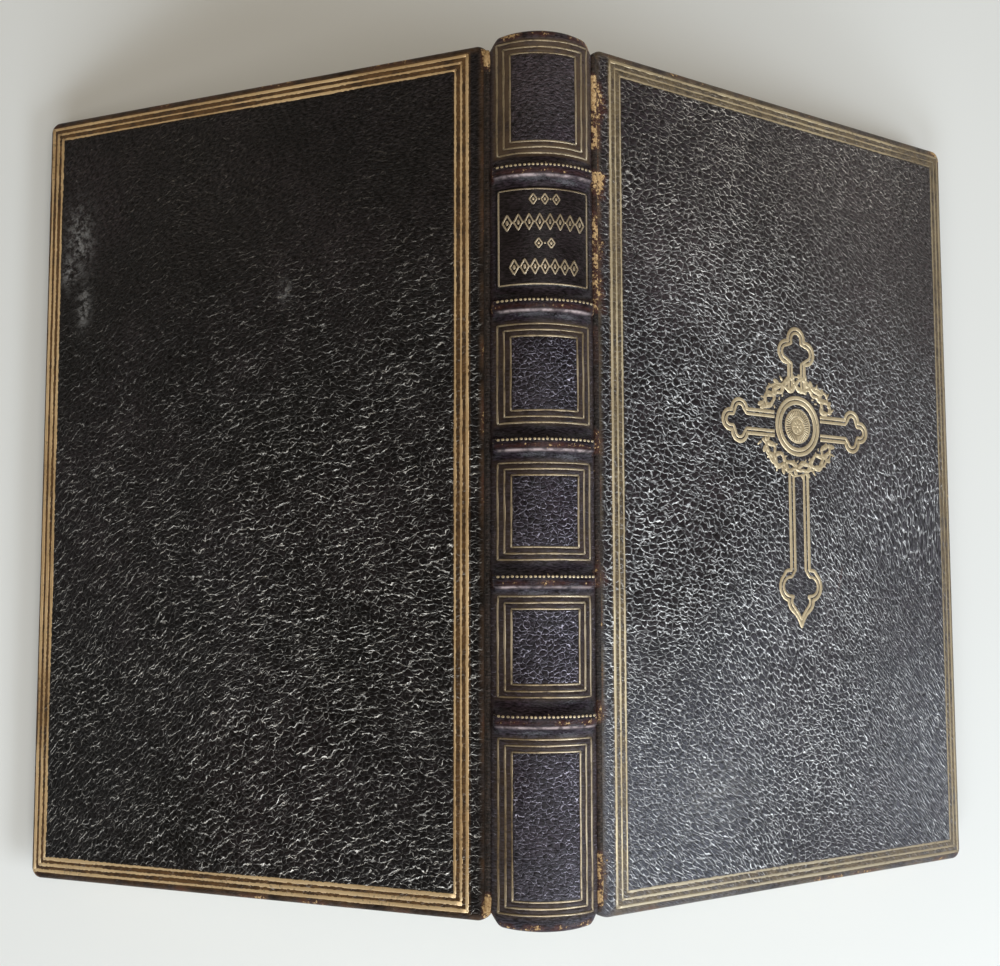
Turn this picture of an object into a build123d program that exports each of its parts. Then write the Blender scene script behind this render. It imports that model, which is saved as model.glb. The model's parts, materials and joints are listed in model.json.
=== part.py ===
from build123d import *
import math
import os

os.makedirs("parts", exist_ok=True)

# ------------------------------------------------------------------
# Small prayer book in full leather over boards, sewn on five raised
# cords.  It lies open, face down like a tent: the spine is up, the
# front cover slopes down to +X, the back cover to -X, head at +Y.
# Millimetres.  Z = 0 is the table.
# ------------------------------------------------------------------

# ---- driving dimensions ------------------------------------------
SLOPE = 30.2            # fall of each open cover below the horizontal
HALF_SPINE = 10.2       # joint line to spine centre plane
BOARD_H = 165.0         # cover height, head to tail
BOARD_U = 107.6         # joint line to fore edge, along the cover
BOARD_START = 0.3       # spine-side edge of the cover, from the joint line
COVER_T = 3.05          # whole cover thickness
SKIN = 0.7              # covering leather
TURN_IN = 12.0          # width of leather turned in over the board
BOARD_IN = 0.35         # thickness of turn-ins and pastedown
CORNER_R = 2.6          # plan corners of the covers
EDGE_R = 0.65           # softened outer edge of the covers

CROWN = 5.6             # spine crown above the joint lines
SPINE_SKIN = 0.8
SPINE_HALF = 83.4       # crown of the caps from mid height
CAP_FALL = 2.3          # how far the cap outline drops at its corners
BAND_Y = (56.1, 30.5, 4.5, -20.7, -46.0)   # five raised bands
BAND_HALF_W = 2.3
BAND_UP = 1.15
BAND_X = 9.2
CORD_R = 0.9
JOINT_R = 0.8           # rolled leather of the joint

PAGE_H = 159.0
SECTIONS = 8            # sections in each half of the open block
FIRST_D = 3.45          # first section, depth below the cover's outer face
PITCH = 0.8313
LEAF_T = 0.78
FORE_U = 104.2          # fore edge of the sections next to the covers
FORE_HOLLOW = 3.0       # depth of the concave fore edge when closed
FLY_D = 3.15
FLY_T = 0.2

GILT_W = 0.36
GILT_PITCH = 1.27
GILT_T = 0.06
GILT_POCKET = 0.08
FRAME_U = (6.9, 103.9)  # inner gilt fillet, across the cover
FRAME_V = 78.3          # inner gilt fillet, half height

# cross on the front cover, in cover coordinates (across, up)
CROSS_U = 56.0
CROSS_V = 12.8
CROSS_ARM = 22.2
CROSS_TOP = 21.3
CROSS_FOOT = 42.7
CROSS_BAR = 3.2         # half width of the shaft
CROSS_ARM_BAR = 2.8     # half width of the arms
LOBE_R = 2.7
RING_R = 6.8
WREATH_R = 9.7

# ---- derived -----------------------------------------------------
S = math.radians(SLOPE)
CS, SN = math.cos(S), math.sin(S)
SPINE_R = (HALF_SPINE**2 + CROWN**2) / (2 * CROWN)
ARC_DROP = SPINE_R - CROWN          # spine axis below the joint lines
FOLD_R = SPINE_R - 1.89             # round back of the folded sections
LAST_D = FIRST_D + PITCH * (SECTIONS - 1) + LEAF_T


def fore_u(d):
    x = HALF_SPINE - d
    return FORE_U - FORE_HOLLOW * (1 - (x / (HALF_SPINE - FIRST_D)) ** 2)


def fold_u(d):
    x = HALF_SPINE - d
    return ARC_DROP - math.sqrt(FOLD_R**2 - x**2)


# the lowest page corner stands on the table
JOINT_Z = max(fore_u(d) * SN + d * CS for d in (FIRST_D + LEAF_T, LAST_D - LEAF_T, LAST_D))
AXIS_Z = JOINT_Z - ARC_DROP

# section planes: local x runs down the open cover from the joint line,
# local y is the cover's outward normal, the normal runs along the spine
FRONT = Plane(origin=(HALF_SPINE, 0, JOINT_Z), x_dir=(CS, 0, -SN), z_dir=(0, -1, 0))
BACK = Plane(origin=(-HALF_SPINE, 0, JOINT_Z), x_dir=(-CS, 0, -SN), z_dir=(0, 1, 0))
# face planes on the covers' outer faces: local x across, local y up the book
FRONT_FACE = Plane(origin=(HALF_SPINE, 0, JOINT_Z), x_dir=(CS, 0, -SN), z_dir=(SN, 0, CS))
BACK_FACE = Plane(origin=(-HALF_SPINE, 0, JOINT_Z), x_dir=(-CS, 0, -SN), z_dir=(-SN, 0, CS))


def save(builder, name):
    builder.part.label = name
    export_step(builder.part, f"parts/{name}.step")


# ==================================================================
# Spine
# ==================================================================
SPINE_AXIS = Axis((0, 0, AXIS_Z), (0, 1, 0))


def ring_profile(r_out, r_in):
    Circle(r_out)
    Circle(r_in, mode=Mode.SUBTRACT)


END_PLANE = Plane(origin=(0, 0, AXIS_Z), x_dir=(1, 0, 0), z_dir=(0, -1, 0))
KEEP_UP = ARC_DROP - 0.15    # shells are kept above this height over the spine axis

# radial sketch plane for the bands, cords and headbands: local x runs
# along the spine, local y outward from the spine axis
def radial_plane(angle):
    a = math.radians(angle)
    n = (math.cos(a), 0, -math.sin(a))
    return Plane(origin=(0, 0, AXIS_Z), x_dir=(0, 1, 0), z_dir=n)


BAND_ANGLE = math.degrees(math.asin(BAND_X / (SPINE_R + BAND_UP)))
CORD_ANGLE = BAND_ANGLE - 3.5
CORD_AT = SPINE_R - 0.14


def cap_outline():
    # plan outline of the spine with its curved head and tail
    y0 = SPINE_HALF - CAP_FALL
    x0 = HALF_SPINE + 2
    with BuildLine() as outline:
        ThreePointArc((-x0, y0 - 1.2), (0, SPINE_HALF), (x0, y0 - 1.2))
        Line((x0, y0 - 1.2), (x0, -y0 + 1.2))
        ThreePointArc((x0, -y0 + 1.2), (0, -SPINE_HALF), (-x0, -y0 + 1.2))
        Line((-x0, -y0 + 1.2), (-x0, y0 - 1.2))
    make_face(outline.edges())


def frame_sketch(x, y0, y1, w):
    with Locations((0, (y0 + y1) / 2)):
        Rectangle(2 * x, y1 - y0)
        Rectangle(2 * (x - w), y1 - y0 - 2 * w, mode=Mode.SUBTRACT)


# compartments between the bands, outer frame ends from the head down
PANELS = ((81.2, 59.5), (27.0, 8.5), (1.1, -16.8), (-23.5, -41.8), (-49.3, -80.4))
TITLE = (53.0, 34.0)
PANEL_X = 8.45
PANEL_PITCH = 1.15

with BuildPart() as spine_gilt:
    with BuildSketch(END_PLANE):
        ring_profile(SPINE_R - GILT_POCKET + GILT_T, SPINE_R - GILT_POCKET)
    extrude(amount=SPINE_HALF, both=True)
    with BuildSketch(Plane.XY.offset(AXIS_Z)):
        for hi, lo in PANELS:
            for k in range(3):
                frame_sketch(PANEL_X - k * PANEL_PITCH, lo + k * PANEL_PITCH, hi - k * PANEL_PITCH, GILT_W)
    extrude(amount=SPINE_R + 1, mode=Mode.INTERSECT)

with BuildPart() as gilt_pocket:
    with BuildSketch(END_PLANE):
        ring_profile(SPINE_R + 0.5, SPINE_R - GILT_POCKET)
    extrude(amount=SPINE_HALF, both=True)
    with BuildSketch(Plane.XY.offset(AXIS_Z)):
        for hi, lo in PANELS:
            for k in range(3):
                frame_sketch(PANEL_X - k * PANEL_PITCH, lo + k * PANEL_PITCH, hi - k * PANEL_PITCH, GILT_W)
    extrude(amount=SPINE_R + 3, mode=Mode.INTERSECT)

# smooth lettering piece in the second compartment, let into the skin
with BuildPart() as title_label:
    with BuildSketch(END_PLANE):
        ring_profile(SPINE_R - 0.01, SPINE_R - 0.26)
    extrude(amount=SPINE_HALF, both=True)
    with BuildSketch(Plane.XY.offset(AXIS_Z)):
        with Locations((0, (TITLE[0] + TITLE[1]) / 2)):
            RectangleRounded(2 * (PANEL_X + 0.15), TITLE[0] - TITLE[1], 0.6)
    extrude(amount=SPINE_R + 1, mode=Mode.INTERSECT)

with BuildPart() as label_pocket:
    with BuildSketch(END_PLANE):
        ring_profile(SPINE_R + 0.5, SPINE_R - 0.26)
    extrude(amount=SPINE_HALF, both=True)
    with BuildSketch(Plane.XY.offset(AXIS_Z)):
        with Locations((0, (TITLE[0] + TITLE[1]) / 2)):
            RectangleRounded(2 * (PANEL_X + 0.15), TITLE[0] - TITLE[1], 0.6)
    extrude(amount=SPINE_R + 3, mode=Mode.INTERSECT)

start = radial_plane(-CORD_ANGLE)
with BuildPart() as sewing_cords:
    with BuildSketch(start):
        for y in BAND_Y:
            with Locations((y, CORD_AT)):
                Circle(CORD_R - 0.02)
    revolve(axis=SPINE_AXIS, revolution_arc=2 * CORD_ANGLE)

start = radial_plane(-CORD_ANGLE - 0.3)
with BuildPart() as cord_grooves:
    with BuildSketch(start):
        for y in BAND_Y:
            with Locations((y, CORD_AT)):
                Circle(CORD_R)
    revolve(axis=SPINE_AXIS, revolution_arc=2 * CORD_ANGLE + 0.6)

start = radial_plane(-BAND_ANGLE)
with BuildPart() as band_ridges:
    with BuildSketch(start):
        for y in BAND_Y:
            with BuildLine():
                Spline(
                    (y - BAND_HALF_W, SPINE_R - 0.02),
                    (y - BAND_HALF_W * 0.55, SPINE_R + BAND_UP * 0.72),
                    (y, SPINE_R + BAND_UP),
                    (y + BAND_HALF_W * 0.55, SPINE_R + BAND_UP * 0.72),
                    (y + BAND_HALF_W, SPINE_R - 0.02),
                )
                Line((y + BAND_HALF_W, SPINE_R - 0.02), (y + BAND_HALF_W, SPINE_R - 0.4))
                Line((y + BAND_HALF_W, SPINE_R - 0.4), (y - BAND_HALF_W, SPINE_R - 0.4))
                Line((y - BAND_HALF_W, SPINE_R - 0.4), (y - BAND_HALF_W, SPINE_R - 0.02))
            make_face()
    revolve(axis=SPINE_AXIS, revolution_arc=2 * BAND_ANGLE)

LIP_X = 6.3
with BuildPart() as spine_leather:
    with BuildSketch(END_PLANE):
        ring_profile(SPINE_R, SPINE_R - SPINE_SKIN)
        with Locations((0, KEEP_UP / 2 - SPINE_R / 2 - 1)):
            Rectangle(4 * SPINE_R, KEEP_UP + SPINE_R + 2, mode=Mode.SUBTRACT)
    extrude(amount=SPINE_HALF, both=True)
    # turned-in leather that forms the head cap and the tail cap
    with BuildSketch(END_PLANE):
        ring_profile(SPINE_R - SPINE_SKIN + 0.05, SPINE_R - 3.6)
        with Locations((0, -SPINE_R)):
            Rectangle(4 * SPINE_R, 2 * SPINE_R, mode=Mode.SUBTRACT)
        Rectangle(2 * LIP_X, 4 * SPINE_R, mode=Mode.INTERSECT)
    extrude(amount=SPINE_HALF, both=True)
    with BuildSketch(END_PLANE):
        ring_profile(SPINE_R - SPINE_SKIN, SPINE_R - 4.0)
    extrude(amount=81.3, both=True, mode=Mode.SUBTRACT)
    add(band_ridges.part)
    with BuildSketch(Plane.XY.offset(AXIS_Z - 1)):
        cap_outline()
    extrude(amount=2 * SPINE_R, mode=Mode.INTERSECT)
    add(cord_grooves.part, mode=Mode.SUBTRACT)
    add(gilt_pocket.part, mode=Mode.SUBTRACT)
    add(label_pocket.part, mode=Mode.SUBTRACT)
    for side in (-1, 1):
        with Locations(Location((side * HALF_SPINE, 0, JOINT_Z), (90, 0, 0))):
            Cylinder(JOINT_R + 0.03, 2 * SPINE_HALF + 4, mode=Mode.SUBTRACT)

with BuildPart() as spine_paper_lining:
    with BuildSketch(END_PLANE):
        ring_profile(SPINE_R - SPINE_SKIN, SPINE_R - SPINE_SKIN - 0.5)
        with Locations((0, -SPINE_R + ARC_DROP + 0.6)):
            Rectangle(4 * SPINE_R, 2 * SPINE_R, mode=Mode.SUBTRACT)
    extrude(amount=80.9, both=True)
    add(cord_grooves.part, mode=Mode.SUBTRACT)

with BuildPart() as spine_mull:
    with BuildSketch(END_PLANE):
        ring_profile(SPINE_R - SPINE_SKIN - 0.5, SPINE_R - SPINE_SKIN - 0.8)
        with Locations((0, -SPINE_R + ARC_DROP + 0.6)):
            Rectangle(4 * SPINE_R, 2 * SPINE_R, mode=Mode.SUBTRACT)
    extrude(amount=79.0, both=True)

HEADBAND_R = 0.72
HEADBAND_AT = SPINE_R - 2.55
start = radial_plane(-36)
for end, name in ((1, "headband_head"), (-1, "headband_tail")):
    with BuildPart() as headband:
        with BuildSketch(start):
            with Locations((end * 80.42, HEADBAND_AT)):
                Circle(HEADBAND_R)
        revolve(axis=SPINE_AXIS, revolution_arc=72)
    save(headband, name)

for side, name in ((1, "front_joint_leather"), (-1, "back_joint_leather")):
    with BuildPart() as joint_leather:
        with Locations(Location((side * HALF_SPINE, 0, JOINT_Z), (90, 0, 0))):
            Cylinder(JOINT_R, 162.0)
    save(joint_leather, name)

save(spine_leather, "spine_leather")
save(spine_gilt, "spine_gilt_frames")
save(title_label, "title_label")
save(sewing_cords, "sewing_cords")
save(spine_paper_lining, "spine_paper_lining")
save(spine_mull, "spine_mull")

# ==================================================================
# Text block: two halves of eight sections
# ==================================================================
with BuildSketch() as fold_limit:
    Circle(LAST_D)
    with Locations((60, 0)):
        Rectangle(120, 40)

for side, plane in (("front", FRONT), ("back", BACK)):
    for i in range(SECTIONS):
        d0 = FIRST_D + i * PITCH
        d1 = d0 + LEAF_T
        with BuildPart() as section:
            with BuildSketch(plane):
                with BuildLine():
                    Polyline(
                        (fold_u(d0), -d0),
                        (fore_u(d0), -d0),
                        (fore_u(d1), -d1),
                        (fold_u(d1), -d1),
                        close=True,
                    )
                make_face()
                if i == SECTIONS - 1:
                    # the middle fold is rounded about the joint line
                    add(fold_limit.sketch, mode=Mode.INTERSECT)
            extrude(amount=PAGE_H / 2, both=True)
        save(section, f"{side}_section_{i + 1}")

    with BuildPart() as flyleaf:
        with BuildSketch(plane):
            with Locations(((1.2 + FORE_U) / 2, -FLY_D - FLY_T / 2)):
                Rectangle(FORE_U - 1.2, FLY_T)
        extrude(amount=PAGE_H / 2, both=True)
    save(flyleaf, f"{side}_flyleaf")

# ==================================================================
# Covers
# ==================================================================
def cover_plan(inset, start):
    # plan of a cover layer, its two fore corners rounded
    u0, u1 = start, BOARD_U - inset
    h = BOARD_H / 2 - inset
    r = max(CORNER_R - inset, 0.4)
    with BuildLine() as outline:
        Line((u0, -h), (u1 - r, -h))
        RadiusArc((u1 - r, -h), (u1, -h + r), -r)
        Line((u1, -h + r), (u1, h - r))
        RadiusArc((u1, h - r), (u1 - r, h), -r)
        Line((u1 - r, h), (u0, h))
        Line((u0, h), (u0, -h))
    make_face(outline.edges())


def fillets():
    for k in (2, 1, 0):
        o = k * GILT_PITCH
        w = FRAME_U[1] - FRAME_U[0] + 2 * o
        with Locations(((FRAME_U[0] + FRAME_U[1]) / 2, 0)):
            Rectangle(w + GILT_W, 2 * (FRAME_V + o) + GILT_W)
            Rectangle(w - GILT_W, 2 * (FRAME_V + o) - GILT_W, mode=Mode.SUBTRACT)


def cross_body(grow):
    # silhouette of the cross, grown or shrunk by an even margin
    u, v = CROSS_U, CROSS_V
    with Locations((u, v + (CROSS_TOP - 4 - CROSS_FOOT + 10) / 2)):
        Rectangle(2 * (CROSS_BAR + grow), CROSS_TOP - 4 + CROSS_FOOT - 10)
    with Locations((u, v)):
        Rectangle(2 * (CROSS_ARM - 4), 2 * (CROSS_ARM_BAR + grow))
    r = LOBE_R + grow
    with Locations((u, v + CROSS_TOP - LOBE_R), (u - 2.8, v + CROSS_TOP - 6.2 + LOBE_R - 1.4), (u + 2.8, v + CROSS_TOP - 6.2 + LOBE_R - 1.4)):
        Circle(r)
    for sgn in (-1, 1):
        end = u + sgn * CROSS_ARM
        with Locations((end - sgn * LOBE_R, v), (end - sgn * 4.9, v + 2.8), (end - sgn * 4.9, v - 2.8)):
            Circle(r)
    with Locations((u - 3.4, v - CROSS_FOOT + 9.0), (u + 3.4, v - CROSS_FOOT + 9.0)):
        Circle(2.9 + grow)
    with BuildLine() as foot:
        Polyline(
            (u - 4.6 - grow, v - CROSS_FOOT + 6.6),
            (u, v - CROSS_FOOT - 1.6 * grow),
            (u + 4.6 + grow, v - CROSS_FOOT + 6.6),
            (u + 4.0, v - CROSS_FOOT + 10.0),
            (u - 4.0, v - CROSS_FOOT + 10.0),
            close=True,
        )
    make_face(foot.edges())


def cross_lines(plane):
    with BuildSketch() as hollow:
        cross_body(-1.0)
    with BuildSketch(plane) as lines:
        cross_body(0.0)
        add(hollow.sketch, mode=Mode.SUBTRACT)
        with Locations((CROSS_U, CROSS_V)):
            Circle(RING_R, mode=Mode.SUBTRACT)
            Circle(RING_R)
            Circle(RING_R - 1.2, mode=Mode.SUBTRACT)
            Circle(3.7)
            with PolarLocations(WREATH_R, 16, start_angle=11.25):
                Ellipse(1.35, 0.8)
    return lines.sketch


for side, plane, face in (("front", FRONT, FRONT_FACE), ("back", BACK, BACK_FACE)):
    with BuildPart() as board:
        with BuildSketch(face.offset(-SKIN)):
            cover_plan(SKIN, 1.7)
        extrude(amount=-(COVER_T - SKIN - BOARD_IN))
    save(board, f"{side}_board")

    with BuildPart() as pastedown:
        with BuildSketch(face.offset(-(COVER_T - BOARD_IN))):
            with Locations(((1.7 + BOARD_U - TURN_IN) / 2, 0)):
                Rectangle(BOARD_U - TURN_IN - 1.7, BOARD_H - 2 * TURN_IN)
        extrude(amount=-BOARD_IN)
    save(pastedown, f"{side}_pastedown")

    with BuildPart() as gilt_border:
        with BuildSketch(face.offset(-GILT_POCKET)):
            fillets()
        extrude(amount=GILT_T)
    save(gilt_border, f"{side}_gilt_border")

    with BuildPart() as cover_leather:
        with BuildSketch(face):
            cover_plan(0, BOARD_START)
        extrude(amount=-COVER_T)
        outer = cover_leather.faces().sort_by(Axis((0, 0, 0), (face.z_dir.X, 0, face.z_dir.Z)))[-1]
        rim = [e for e in outer.edges() if (e.center() - face.origin).dot(face.x_dir) > 1.0]
        fillet(rim, EDGE_R)
        add(board.part, mode=Mode.SUBTRACT)
        add(pastedown.part, mode=Mode.SUBTRACT)
        with BuildSketch(face.offset(-GILT_POCKET)):
            fillets()
        extrude(amount=GILT_POCKET + 0.2, mode=Mode.SUBTRACT)
        if side == "front":
            extrude(cross_lines(face.offset(-GILT_POCKET)), amount=GILT_POCKET + 0.2, mode=Mode.SUBTRACT)
        sgn = 1 if side == "front" else -1
        with Locations(Location((sgn * HALF_SPINE, 0, JOINT_Z), (90, 0, 0))):
            Cylinder(JOINT_R + 0.1, BOARD_H + 4, mode=Mode.SUBTRACT)
    save(cover_leather, f"{side}_cover_leather")

with BuildPart() as gilt_cross:
    extrude(cross_lines(FRONT_FACE.offset(-GILT_POCKET)), amount=GILT_T)
save(gilt_cross, "front_gilt_cross")

print("joint line height", round(JOINT_Z, 4), "spine radius", round(SPINE_R, 3))
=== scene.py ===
import json
import math

import bmesh
import bpy
import numpy as np
from mathutils import Matrix, Vector


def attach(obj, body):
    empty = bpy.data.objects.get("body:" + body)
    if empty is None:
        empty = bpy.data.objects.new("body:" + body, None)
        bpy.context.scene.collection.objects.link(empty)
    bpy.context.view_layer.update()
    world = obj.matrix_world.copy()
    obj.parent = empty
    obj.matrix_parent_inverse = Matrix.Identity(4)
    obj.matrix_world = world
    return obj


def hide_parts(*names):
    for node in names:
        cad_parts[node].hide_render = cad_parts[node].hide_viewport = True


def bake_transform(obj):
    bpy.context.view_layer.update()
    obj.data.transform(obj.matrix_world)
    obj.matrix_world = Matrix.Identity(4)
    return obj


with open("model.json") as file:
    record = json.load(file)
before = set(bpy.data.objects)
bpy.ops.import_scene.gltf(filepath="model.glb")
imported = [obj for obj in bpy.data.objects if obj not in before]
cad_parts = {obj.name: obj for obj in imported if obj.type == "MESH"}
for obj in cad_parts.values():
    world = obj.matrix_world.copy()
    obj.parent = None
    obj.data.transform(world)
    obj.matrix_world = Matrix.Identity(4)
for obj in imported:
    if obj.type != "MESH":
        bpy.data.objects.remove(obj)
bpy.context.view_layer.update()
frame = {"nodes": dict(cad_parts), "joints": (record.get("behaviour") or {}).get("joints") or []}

# ---------------------------------------------------------------- sizes, mm
MM = 0.001
BETA = math.radians(30.2)
CB, SB = math.cos(BETA), math.sin(BETA)
PHI = math.radians(59.8)
A = 10.2
JOINT = next(j for j in frame["joints"] if j["name"] == "front_leaves_hinge")
ZJ = JOINT["pos_m"][2] * 1000.0
CROWN = 5.6
SR = (A * A + CROWN * CROWN) / (2 * CROWN)
AXZ = ZJ - (SR - CROWN)
U1, HV = 107.6, 82.5
COVER_T = 3.05
TURN = 12.0
LINES_U0, LINES_U1, LINES_V, PITCH = 6.9, 103.9, 78.3, 1.27
BAND_Y = (56.1, 30.5, 4.5, -20.7, -46.0)
BAND_W, BAND_UP = 2.35, 1.15
PANELS = ((81.2, 59.5), (27.0, 8.5), (1.1, -16.8), (-23.5, -41.8), (-49.3, -80.4))
TITLE = (53.0, 34.0)
PX = 8.7
PP = 1.15
SPINE_HALF = 83.4
CAP_FALL = 2.2
CU, CV = 56.0, 12.8
SECTIONS, FIRST_D, SPITCH, LEAF_T = 8, 3.45, 0.8313, 0.78
FORE_U, FORE_HOLLOW = 104.2, 3.0
FOLD_R = SR - 1.89
ARC_DROP = SR - CROWN


# ---------------------------------------------------------------- noise
class Noise2:
    """Smooth lattice noise in the plane, about -1 to 1, the same at every run."""

    def __init__(self, seed):
        self.t = np.random.RandomState(seed).rand(256, 256) * 2 - 1

    def one(self, x, y):
        xi, yi = np.floor(x).astype(int), np.floor(y).astype(int)
        fx, fy = x - xi, y - yi
        fx, fy = fx * fx * (3 - 2 * fx), fy * fy * (3 - 2 * fy)
        g = lambda i, j: self.t[(xi + i) % 256, (yi + j) % 256]
        return (g(0, 0) * (1 - fx) + g(1, 0) * fx) * (1 - fy) + (g(0, 1) * (1 - fx) + g(1, 1) * fx) * fy

    def fbm(self, x, y, scale, octaves=3):
        x, y = np.asarray(x, float) * scale, np.asarray(y, float) * scale
        total, amp, norm = 0, 1.0, 0
        for k in range(octaves):
            total = total + amp * self.one(x + 17.3 * k, y - 9.1 * k)
            norm += amp
            x, y, amp = x * 2.03, y * 2.03, amp * 0.5
        return total / norm


def sstep(a, b, x):
    t = np.clip((np.asarray(x, float) - a) / (b - a), 0, 1)
    return t * t * (3 - 2 * t)


# ---------------------------------------------------------------- coordinates
def cover_point(sg, u, v, d):
    """Cover coordinates (across from the joint line, up the book, depth under the outer face) to the row frame, metres."""
    u, v, d = np.broadcast_arrays(np.asarray(u, float), np.asarray(v, float), np.asarray(d, float))
    return np.stack([sg * (A + u * CB - d * SB), v, ZJ - u * SB - d * CB], -1) * MM


def band_height(x, y):
    h = np.zeros(np.broadcast(x, y).shape)
    fade = 1 - sstep(8.7, 9.7, np.abs(x))
    for b in BAND_Y:
        a = np.abs(y - b)
        bump = (1 - 0.05 * np.minimum(a / 1.05, 1) ** 2) * (1 - np.clip((a - 1.0) / 1.45, 0, 1)) ** 1.5
        h = h + bump * BAND_UP * fade
        h = h - 0.13 * np.exp(-(((np.abs(y - b) - 3.1) / 0.7) ** 2)) * fade
    return h


def line_groove(x, y):
    """How deep the tooled lines press the spine leather."""
    g = np.zeros(np.broadcast(x, y).shape)
    for hi, lo in PANELS:
        for k in range(3):
            px, t, b = PX - k * PP, hi - k * PP, lo + k * PP
            inside_y = sstep(b - 0.4, b - 0.1, y) * (1 - sstep(t + 0.1, t + 0.4, y))
            inside_x = 1 - sstep(px + 0.1, px + 0.4, np.abs(x))
            for e in (t, b):
                g = np.maximum(g, np.exp(-(((y - e) / 0.27) ** 2)) * inside_x)
            g = np.maximum(g, np.exp(-(((np.abs(x) - px) / 0.27) ** 2)) * inside_y)
    return g


def spine_point(x, y, lift=0.0):
    """Plan position on the spine, x across at the skin's radius, to the row frame, metres."""
    x, y, lift = np.broadcast_arrays(np.asarray(x, float), np.asarray(y, float), np.asarray(lift, float))
    th = np.arcsin(np.clip(x / SR, -1, 1))
    rho = SR + band_height(x, y) + lift
    return np.stack([rho * np.sin(th), y, AXZ + rho * np.cos(th)], -1) * MM


# ---------------------------------------------------------------- mesh helpers
def new_object(name, verts, faces, mats, smooth=True, face_mats=None, attrs=None):
    me = bpy.data.meshes.new(name)
    me.from_pydata(np.asarray(verts).reshape(-1, 3).tolist(), [], [list(map(int, f)) for f in faces])
    me.update()
    for m in mats if isinstance(mats, (list, tuple)) else [mats]:
        me.materials.append(m)
    if smooth:
        me.polygons.foreach_set("use_smooth", [True] * len(me.polygons))
    if face_mats is not None:
        me.polygons.foreach_set("material_index", list(map(int, face_mats)))
    for k, v in (attrs or {}).items():
        v = np.asarray(v, np.float32)
        if v.ndim > 1 and v.shape[-1] == 3 and k == "skin":
            a = me.attributes.new(k, "FLOAT_VECTOR", "POINT")
            a.data.foreach_set("vector", v.ravel())
        else:
            a = me.attributes.new(k, "FLOAT", "POINT")
            a.data.foreach_set("value", v.ravel())
    ob = bpy.data.objects.new(name, me)
    bpy.context.scene.collection.objects.link(ob)
    return ob


def tidy(ob, dist=2e-6):
    bm = bmesh.new()
    bm.from_mesh(ob.data)
    bmesh.ops.remove_doubles(bm, verts=bm.verts, dist=dist)
    bmesh.ops.dissolve_degenerate(bm, dist=dist * 0.5, edges=bm.edges)
    bmesh.ops.recalc_face_normals(bm, faces=bm.faces)
    bm.to_mesh(ob.data)
    bm.free()
    ob.data.update()


def grid_faces(n, m, off=0, wrap=False):
    f = []
    for i in range(n - 1 if not wrap else n):
        i2 = (i + 1) % n
        for j in range(m - 1):
            f.append((off + i * m + j, off + i2 * m + j, off + i2 * m + j + 1, off + i * m + j + 1))
    return f


class Soup:
    """Collects many small closed pieces into one mesh."""

    def __init__(self):
        self.v, self.f, self.n = [], [], 0

    def add(self, verts, faces):
        verts = np.asarray(verts, float).reshape(-1, 3)
        self.v.append(verts)
        self.f += [tuple(int(i) + self.n for i in f) for f in faces]
        self.n += len(verts)

    def ribbon(self, pts, width, lift, base, top=0.07, closed=False, taper=False):
        """A raised strip along pts (plan points in mm), mapped to the surface by lift(points, height)."""
        pts = np.asarray(pts, float)
        n = len(pts)
        if closed:
            t = np.roll(pts, -1, 0) - np.roll(pts, 1, 0)
        else:
            t = np.gradient(pts, axis=0)
        t /= np.maximum(np.linalg.norm(t, axis=1), 1e-9)[:, None]
        nrm = np.stack([-t[:, 1], t[:, 0]], 1)
        w = np.asarray(width, float) * np.ones(n)
        if taper:
            s = np.linspace(0, 1, n)
            w = w * np.sin(np.clip(s, 0.03, 0.97) * math.pi) ** 0.6
        rows = []
        for off, h in ((-0.5, base), (-0.42, top * 0.75), (-0.16, top), (0.16, top), (0.42, top * 0.75), (0.5, base)):
            rows.append(lift(pts + nrm * (w * off)[:, None], h))
        P = np.stack(rows, 1)          # n x 6 x 3
        f = []
        m = 6
        for i in range(n if closed else n - 1):
            i2 = (i + 1) % n
            for j in range(m):
                j2 = (j + 1) % m
                f.append((i * m + j, i2 * m + j, i2 * m + j2, i * m + j2))
        if not closed:
            f.append(tuple(range(m)))
            f.append(tuple((n - 1) * m + j for j in range(m))[::-1])
        self.add(P, f)

    def dome(self, c, rx, ry, lift, base, top=0.09, ang=0.0, seg=14, power=1.0):
        """A low rounded boss, elliptical in plan."""
        ca, sa = math.cos(ang), math.sin(ang)
        rings = ((1.0, base), (0.97, top * 0.5), (0.8, top * 0.85), (0.45, top * 1.0))
        v = []
        for r, h in rings:
            a = np.arange(seg) * 2 * math.pi / seg
            x, y = rx * r * np.cos(a), ry * r * np.sin(a) * (np.abs(np.cos(a)) ** 0 if power == 1 else 1)
            v.append(lift(np.stack([c[0] + x * ca - y * sa, c[1] + x * sa + y * ca], 1), h))
        V = np.concatenate(v)
        f = []
        for k in range(len(rings) - 1):
            for i in range(seg):
                i2 = (i + 1) % seg
                f.append((k * seg + i, k * seg + i2, (k + 1) * seg + i2, (k + 1) * seg + i))
        f.append(tuple(range(seg))[::-1])
        f.append(tuple(3 * seg + i for i in range(seg)))
        self.add(V, f)

    def object(self, name, mat):
        ob = new_object(name, np.concatenate(self.v), self.f, mat)
        bm = bmesh.new()
        bm.from_mesh(ob.data)
        bmesh.ops.recalc_face_normals(bm, faces=bm.faces)
        bm.to_mesh(ob.data)
        bm.free()
        return ob


# ---------------------------------------------------------------- materials
def mat_new(name):
    m = bpy.data.materials.new(name)
    m.use_nodes = True
    nt = m.node_tree
    bsdf = nt.nodes["Principled BSDF"]
    return m, nt, bsdf


def N(nt, kind, **kw):
    n = nt.nodes.new(kind)
    for k, v in kw.items():
        setattr(n, k, v)
    return n


def L(nt, a, b):
    nt.links.new(a, b)


def setv(n, **kw):
    for k, v in kw.items():
        n.inputs[k.replace("_", " ")].default_value = v
    return n


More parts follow.
